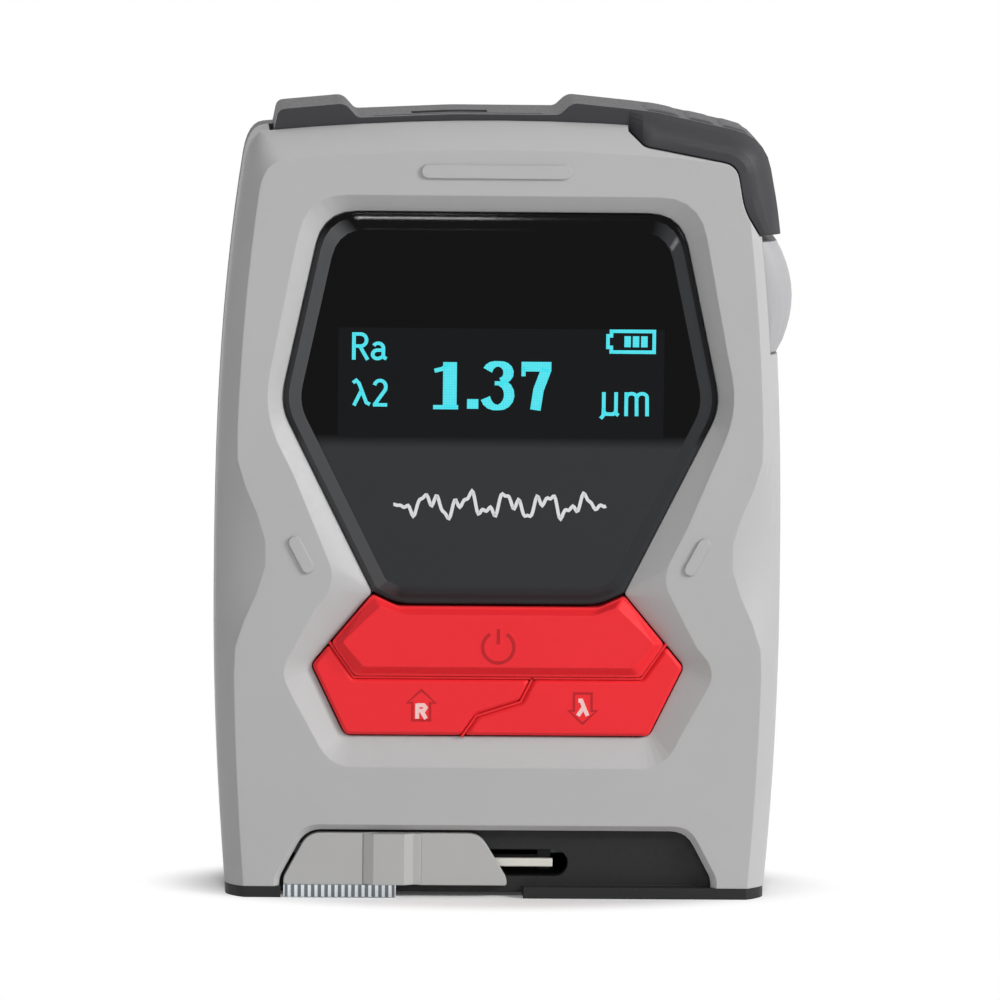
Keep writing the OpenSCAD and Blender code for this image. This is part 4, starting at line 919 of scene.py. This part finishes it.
@dataclass
class Works:
    """Electronics, battery and traverse drive inside the housing."""

    def dress_electronics(self) -> None:
        """Gives the panel, board, switches, socket and battery their materials."""
        # Thin glass over a black emitter layer
        dress("oled_panel", Printed("glass panel black backed", "#101114", 0.12, speck=0.4))
        # White polycarbonate frame
        dress("display_holder", Moulded("polycarbonate white", "#D8D8D2", 0.4))
        # Glass-fibre laminate under green solder mask: satin, with paler tracks
        dress("main_board", CircuitBoard("board solder mask green", "#1C5E34", 0.35))
        # Black epoxy, moulded with a fine matt grain
        dress("board_chips buzzer", Moulded("epoxy black", "#1E1E20", 0.5, grain=0.2))
        # Black nylon switch bodies: satin, with a fine grain
        dress("key_switches side_switch", Moulded("nylon black switch", "#29292B", 0.45))
        # Bent nickel-plated shell, drawn along its length
        dress("usb_socket", Metal("steel nickel plated", "#C4C6C8", 0.25, metallic=1.0, brush=Brush.ALONG_Z))
        # Blue polyester film, shrunk on: glossy, with soft creases
        dress("battery", Foil("film blue shrink wrap", "#33558F", 0.3))
        # Small zinc-plated screws
        dress("board_screws drive_screws", Metal("steel zinc plated small", "#B9B9BC", 0.3, metallic=1.0))

    def dress_drive(self) -> None:
        """Gives the traverse drive and the pickup their metals and plastics."""
        # Bent aluminium sheet, anodised black after brushing: a dark satin with fine lines along it
        dress("drive_frame", Metal("aluminium anodised black", "#1B1C1E", 0.4))
        # Hardened and ground steel
        dress("guide_rods lead_screw pivot_pin", Metal("steel ground", "#CDCFD1", 0.18, metallic=1.0,
                                                       line=0.08))
        # Turned brass
        dress("screw_bushes lead_nut", Metal("brass turned", "#B78B3E", 0.28, metallic=1.0,
                                             brush=Brush.ALONG_Y))
        # Die-cast zinc box: dull, with a coarse grain
        dress("gearbox", Moulded("zinc die cast", "#7F8286", 0.45, metallic=1.0, grain=0.5, depth=0.03))
        # Drawn steel can, with fine lines along it
        dress("drive_motor", Metal("steel drawn can", "#B8BABD", 0.24, metallic=1.0))
        # Dark acetal carriage
        dress("carriage", Moulded("acetal dark grey", "#3C3F44", 0.4))
        # Anodised aluminium arm, with a satin bead-blasted face
        dress("pickup_arm", Moulded("aluminium anodised", "#8E9297", 0.38, metallic=1.0, grain=0.15))
        # Polished synthetic ruby
        dress("skid", Printed("ruby polished", "#A81826", 0.08, speck=0.3))
        # Ground steel needle: bright, with fine lines along it
        dress("stylus", Metal("steel needle ground", "#D9DCDF", 0.15, metallic=1.0, brush=Brush.ALONG_Z))

    def build(self) -> None:
        """Dresses all inner pieces."""
        self.dress_electronics()
        self.dress_drive()


@dataclass(frozen=True)
class Lamp:
    """A soft lamp: its name, its place and its width and height in millimetres, and its power in watts."""

    name: str
    place: tuple[float, float, float]
    size: tuple[float, float]
    power: float


@dataclass
class Stage:
    """Camera, soft light and pale floor."""

    azimuth: float = 2.27
    elevation: float = 6.6
    roll: float = 0.68
    pixels_per_mm: float = 8.06
    distance: float = 1200.0
    aim: tuple[float, float, float] = (0.0, -11.5, 49.7)
    aim_right: float = 0.03
    aim_up: float = 0.24
    image: float = 1000.0
    sensor: float = 36.0
    near: float = 50.0
    far: float = 50000.0
    floor_half: float = 3000.0
    floor_cells: int = 8
    shade_start: float = 30.0
    shade_end: float = 45.0
    shade_white: float = 0.04
    shade_squeeze: float = 1.9
    ambient: float = 0.31
    lamps: tuple[Lamp, ...] = (Lamp("lamp_right", (940, -540, 550), (420, 420), 11.0),
                               Lamp("lamp_above", (-20, -800, 700), (120, 30), 1.8))

    def place_camera(self) -> None:
        """Sets the camera on the photograph's line of sight, far away, turned about that line by the roll."""
        turn, lift = radians(self.azimuth), radians(self.elevation)
        right = Vector((cos(turn), -sin(turn), 0))
        back = Vector((-sin(turn) * cos(lift), -cos(turn) * cos(lift), sin(lift)))
        up = back.cross(right)
        target = Vector(self.aim) + right * self.aim_right + up * self.aim_up
        data = bpy.data.cameras.new("camera")
        data.sensor_width = self.sensor
        data.lens = data.sensor_width * self.distance * self.pixels_per_mm / self.image
        data.clip_start = self.near * MM
        data.clip_end = self.far * MM
        camera = bpy.data.objects.new("camera", data)
        axes = Matrix((right, up, back)).transposed().to_4x4()
        camera.matrix_world = (Matrix.Translation((target + back * self.distance) * MM) @ axes
                               @ Matrix.Rotation(radians(self.roll), 4, "Z"))
        bpy.context.scene.collection.objects.link(camera)
        bpy.context.scene.camera = camera

    def place_lamp(self, lamp: Lamp) -> None:
        """Hangs a soft lamp that looks at the object's middle.

        Args:
            lamp: the lamp to hang.
        """
        data = bpy.data.lights.new(lamp.name, "AREA")
        data.shape = "RECTANGLE"
        data.size = lamp.size[0] * MM
        data.size_y = lamp.size[1] * MM
        data.energy = lamp.power
        made = bpy.data.objects.new(lamp.name, data)
        made.location = Vector(lamp.place) * MM
        made.rotation_euler = (Vector(self.aim) - Vector(lamp.place)).to_track_quat("-Z", "Y").to_euler()
        bpy.context.scene.collection.objects.link(made)

    def seen(self, tree: bpy.types.NodeTree) -> bpy.types.NodeSocket:
        """Tells rays from the camera, mirrors and glass from those that only light.

        Args:
            tree: tree that takes the nodes.

        Returns:
            Socket that is one for such rays.
        """
        rays = add(tree, "ShaderNodeLightPath")
        mirror = add(tree, "ShaderNodeMath", {
            0: rays.outputs["Is Camera Ray"], 1: rays.outputs["Is Glossy Ray"]}, operation="MAXIMUM")
        glass = add(tree, "ShaderNodeMath", {
            0: mirror.outputs[0], 1: rays.outputs["Is Transmission Ray"]}, operation="MAXIMUM")
        return glass.outputs[0]

    def light_world(self) -> None:
        """Sets a white background and an even grey light from all sides."""
        world = bpy.data.worlds.new("studio")
        world.use_nodes = True
        tree = world.node_tree
        tree.nodes.clear()
        dim = add(tree, "ShaderNodeBackground", {"Color": linear("#FFFFFF"), "Strength": self.ambient})
        white = add(tree, "ShaderNodeBackground", {"Color": linear("#FFFFFF"), "Strength": 1.0})
        both = add(tree, "ShaderNodeMixShader", {0: self.seen(tree), 1: dim.outputs[0], 2: white.outputs[0]})
        add(tree, "ShaderNodeOutputWorld", {"Surface": both.outputs[0]})
        bpy.context.scene.world = world

    def lay_floor(self) -> None:
        """Lays the pale floor: an even white for the eye far away, and the object's shadow near its foot."""
        corners = self.floor_cells + 1
        span = np.linspace(-self.floor_half, self.floor_half, corners) * MM
        across, along = np.meshgrid(span, span)
        vertices = np.stack([across, along, np.zeros_like(across)], 2).reshape(-1, 3)
        steps = np.arange(self.floor_cells)
        cells = (steps[:, None] * corners + steps[None, :]).reshape(-1, 1)
        quads = cells + np.array([0, 1, corners + 1, corners])
        mesh = bpy.data.meshes.new("floor")
        mesh.from_pydata(vertices.tolist(), [], quads.tolist())
        material = bpy.data.materials.new("paper white sweep")
        material.use_nodes = True
        tree = material.node_tree
        tree.nodes.clear()
        paper = add(tree, "ShaderNodeBsdfDiffuse", {"Color": linear("#F2F2F2")})
        glow = add(tree, "ShaderNodeEmission", {"Color": linear("#FFFFFF"), "Strength": 1.0})
        place = add(tree, "ShaderNodeTexCoord").outputs["Object"]
        oval = add(tree, "ShaderNodeVectorMath", {
            0: place, 1: (1.0, self.shade_squeeze, 1.0)}, operation="MULTIPLY")
        away = add(tree, "ShaderNodeVectorMath", {0: oval.outputs[0]}, operation="LENGTH")
        white = add(tree, "ShaderNodeMapRange", {
            "Value": away.outputs["Value"], "From Min": self.shade_start * MM,
            "From Max": self.shade_end * MM, "To Min": self.shade_white, "To Max": 1.0},
            interpolation_type="SMOOTHSTEP")
        share = add(tree, "ShaderNodeMath", {
            0: self.seen(tree), 1: white.outputs[0]}, operation="MULTIPLY")
        both = add(tree, "ShaderNodeMixShader", {
            0: share.outputs[0], 1: paper.outputs[0], 2: glow.outputs[0]})
        add(tree, "ShaderNodeOutputMaterial", {"Surface": both.outputs[0]})
        mesh.materials.append(material)
        floor = bpy.data.objects.new("floor", mesh)
        bpy.context.scene.collection.objects.link(floor)

    def build(self) -> None:
        """Builds the stage: camera, floor, world and lamps."""
        self.place_camera()
        self.lay_floor()
        self.light_world()
        for lamp in self.lamps:
            self.place_lamp(lamp)
        bpy.context.scene.view_settings.view_transform = "Standard"


def main() -> None:
    """Builds the stage and dresses the sub-assemblies in order."""
    logging.basicConfig(level=logging.INFO, format="%(message)s")
    for part in (Stage(), Housing(), Display(), Keypad(), Shutter(), Works()):
        LOG.info("Building %s", type(part).__name__)
        part.build()
    bpy.context.view_layer.update()


if __name__ == "__main__":
    main()
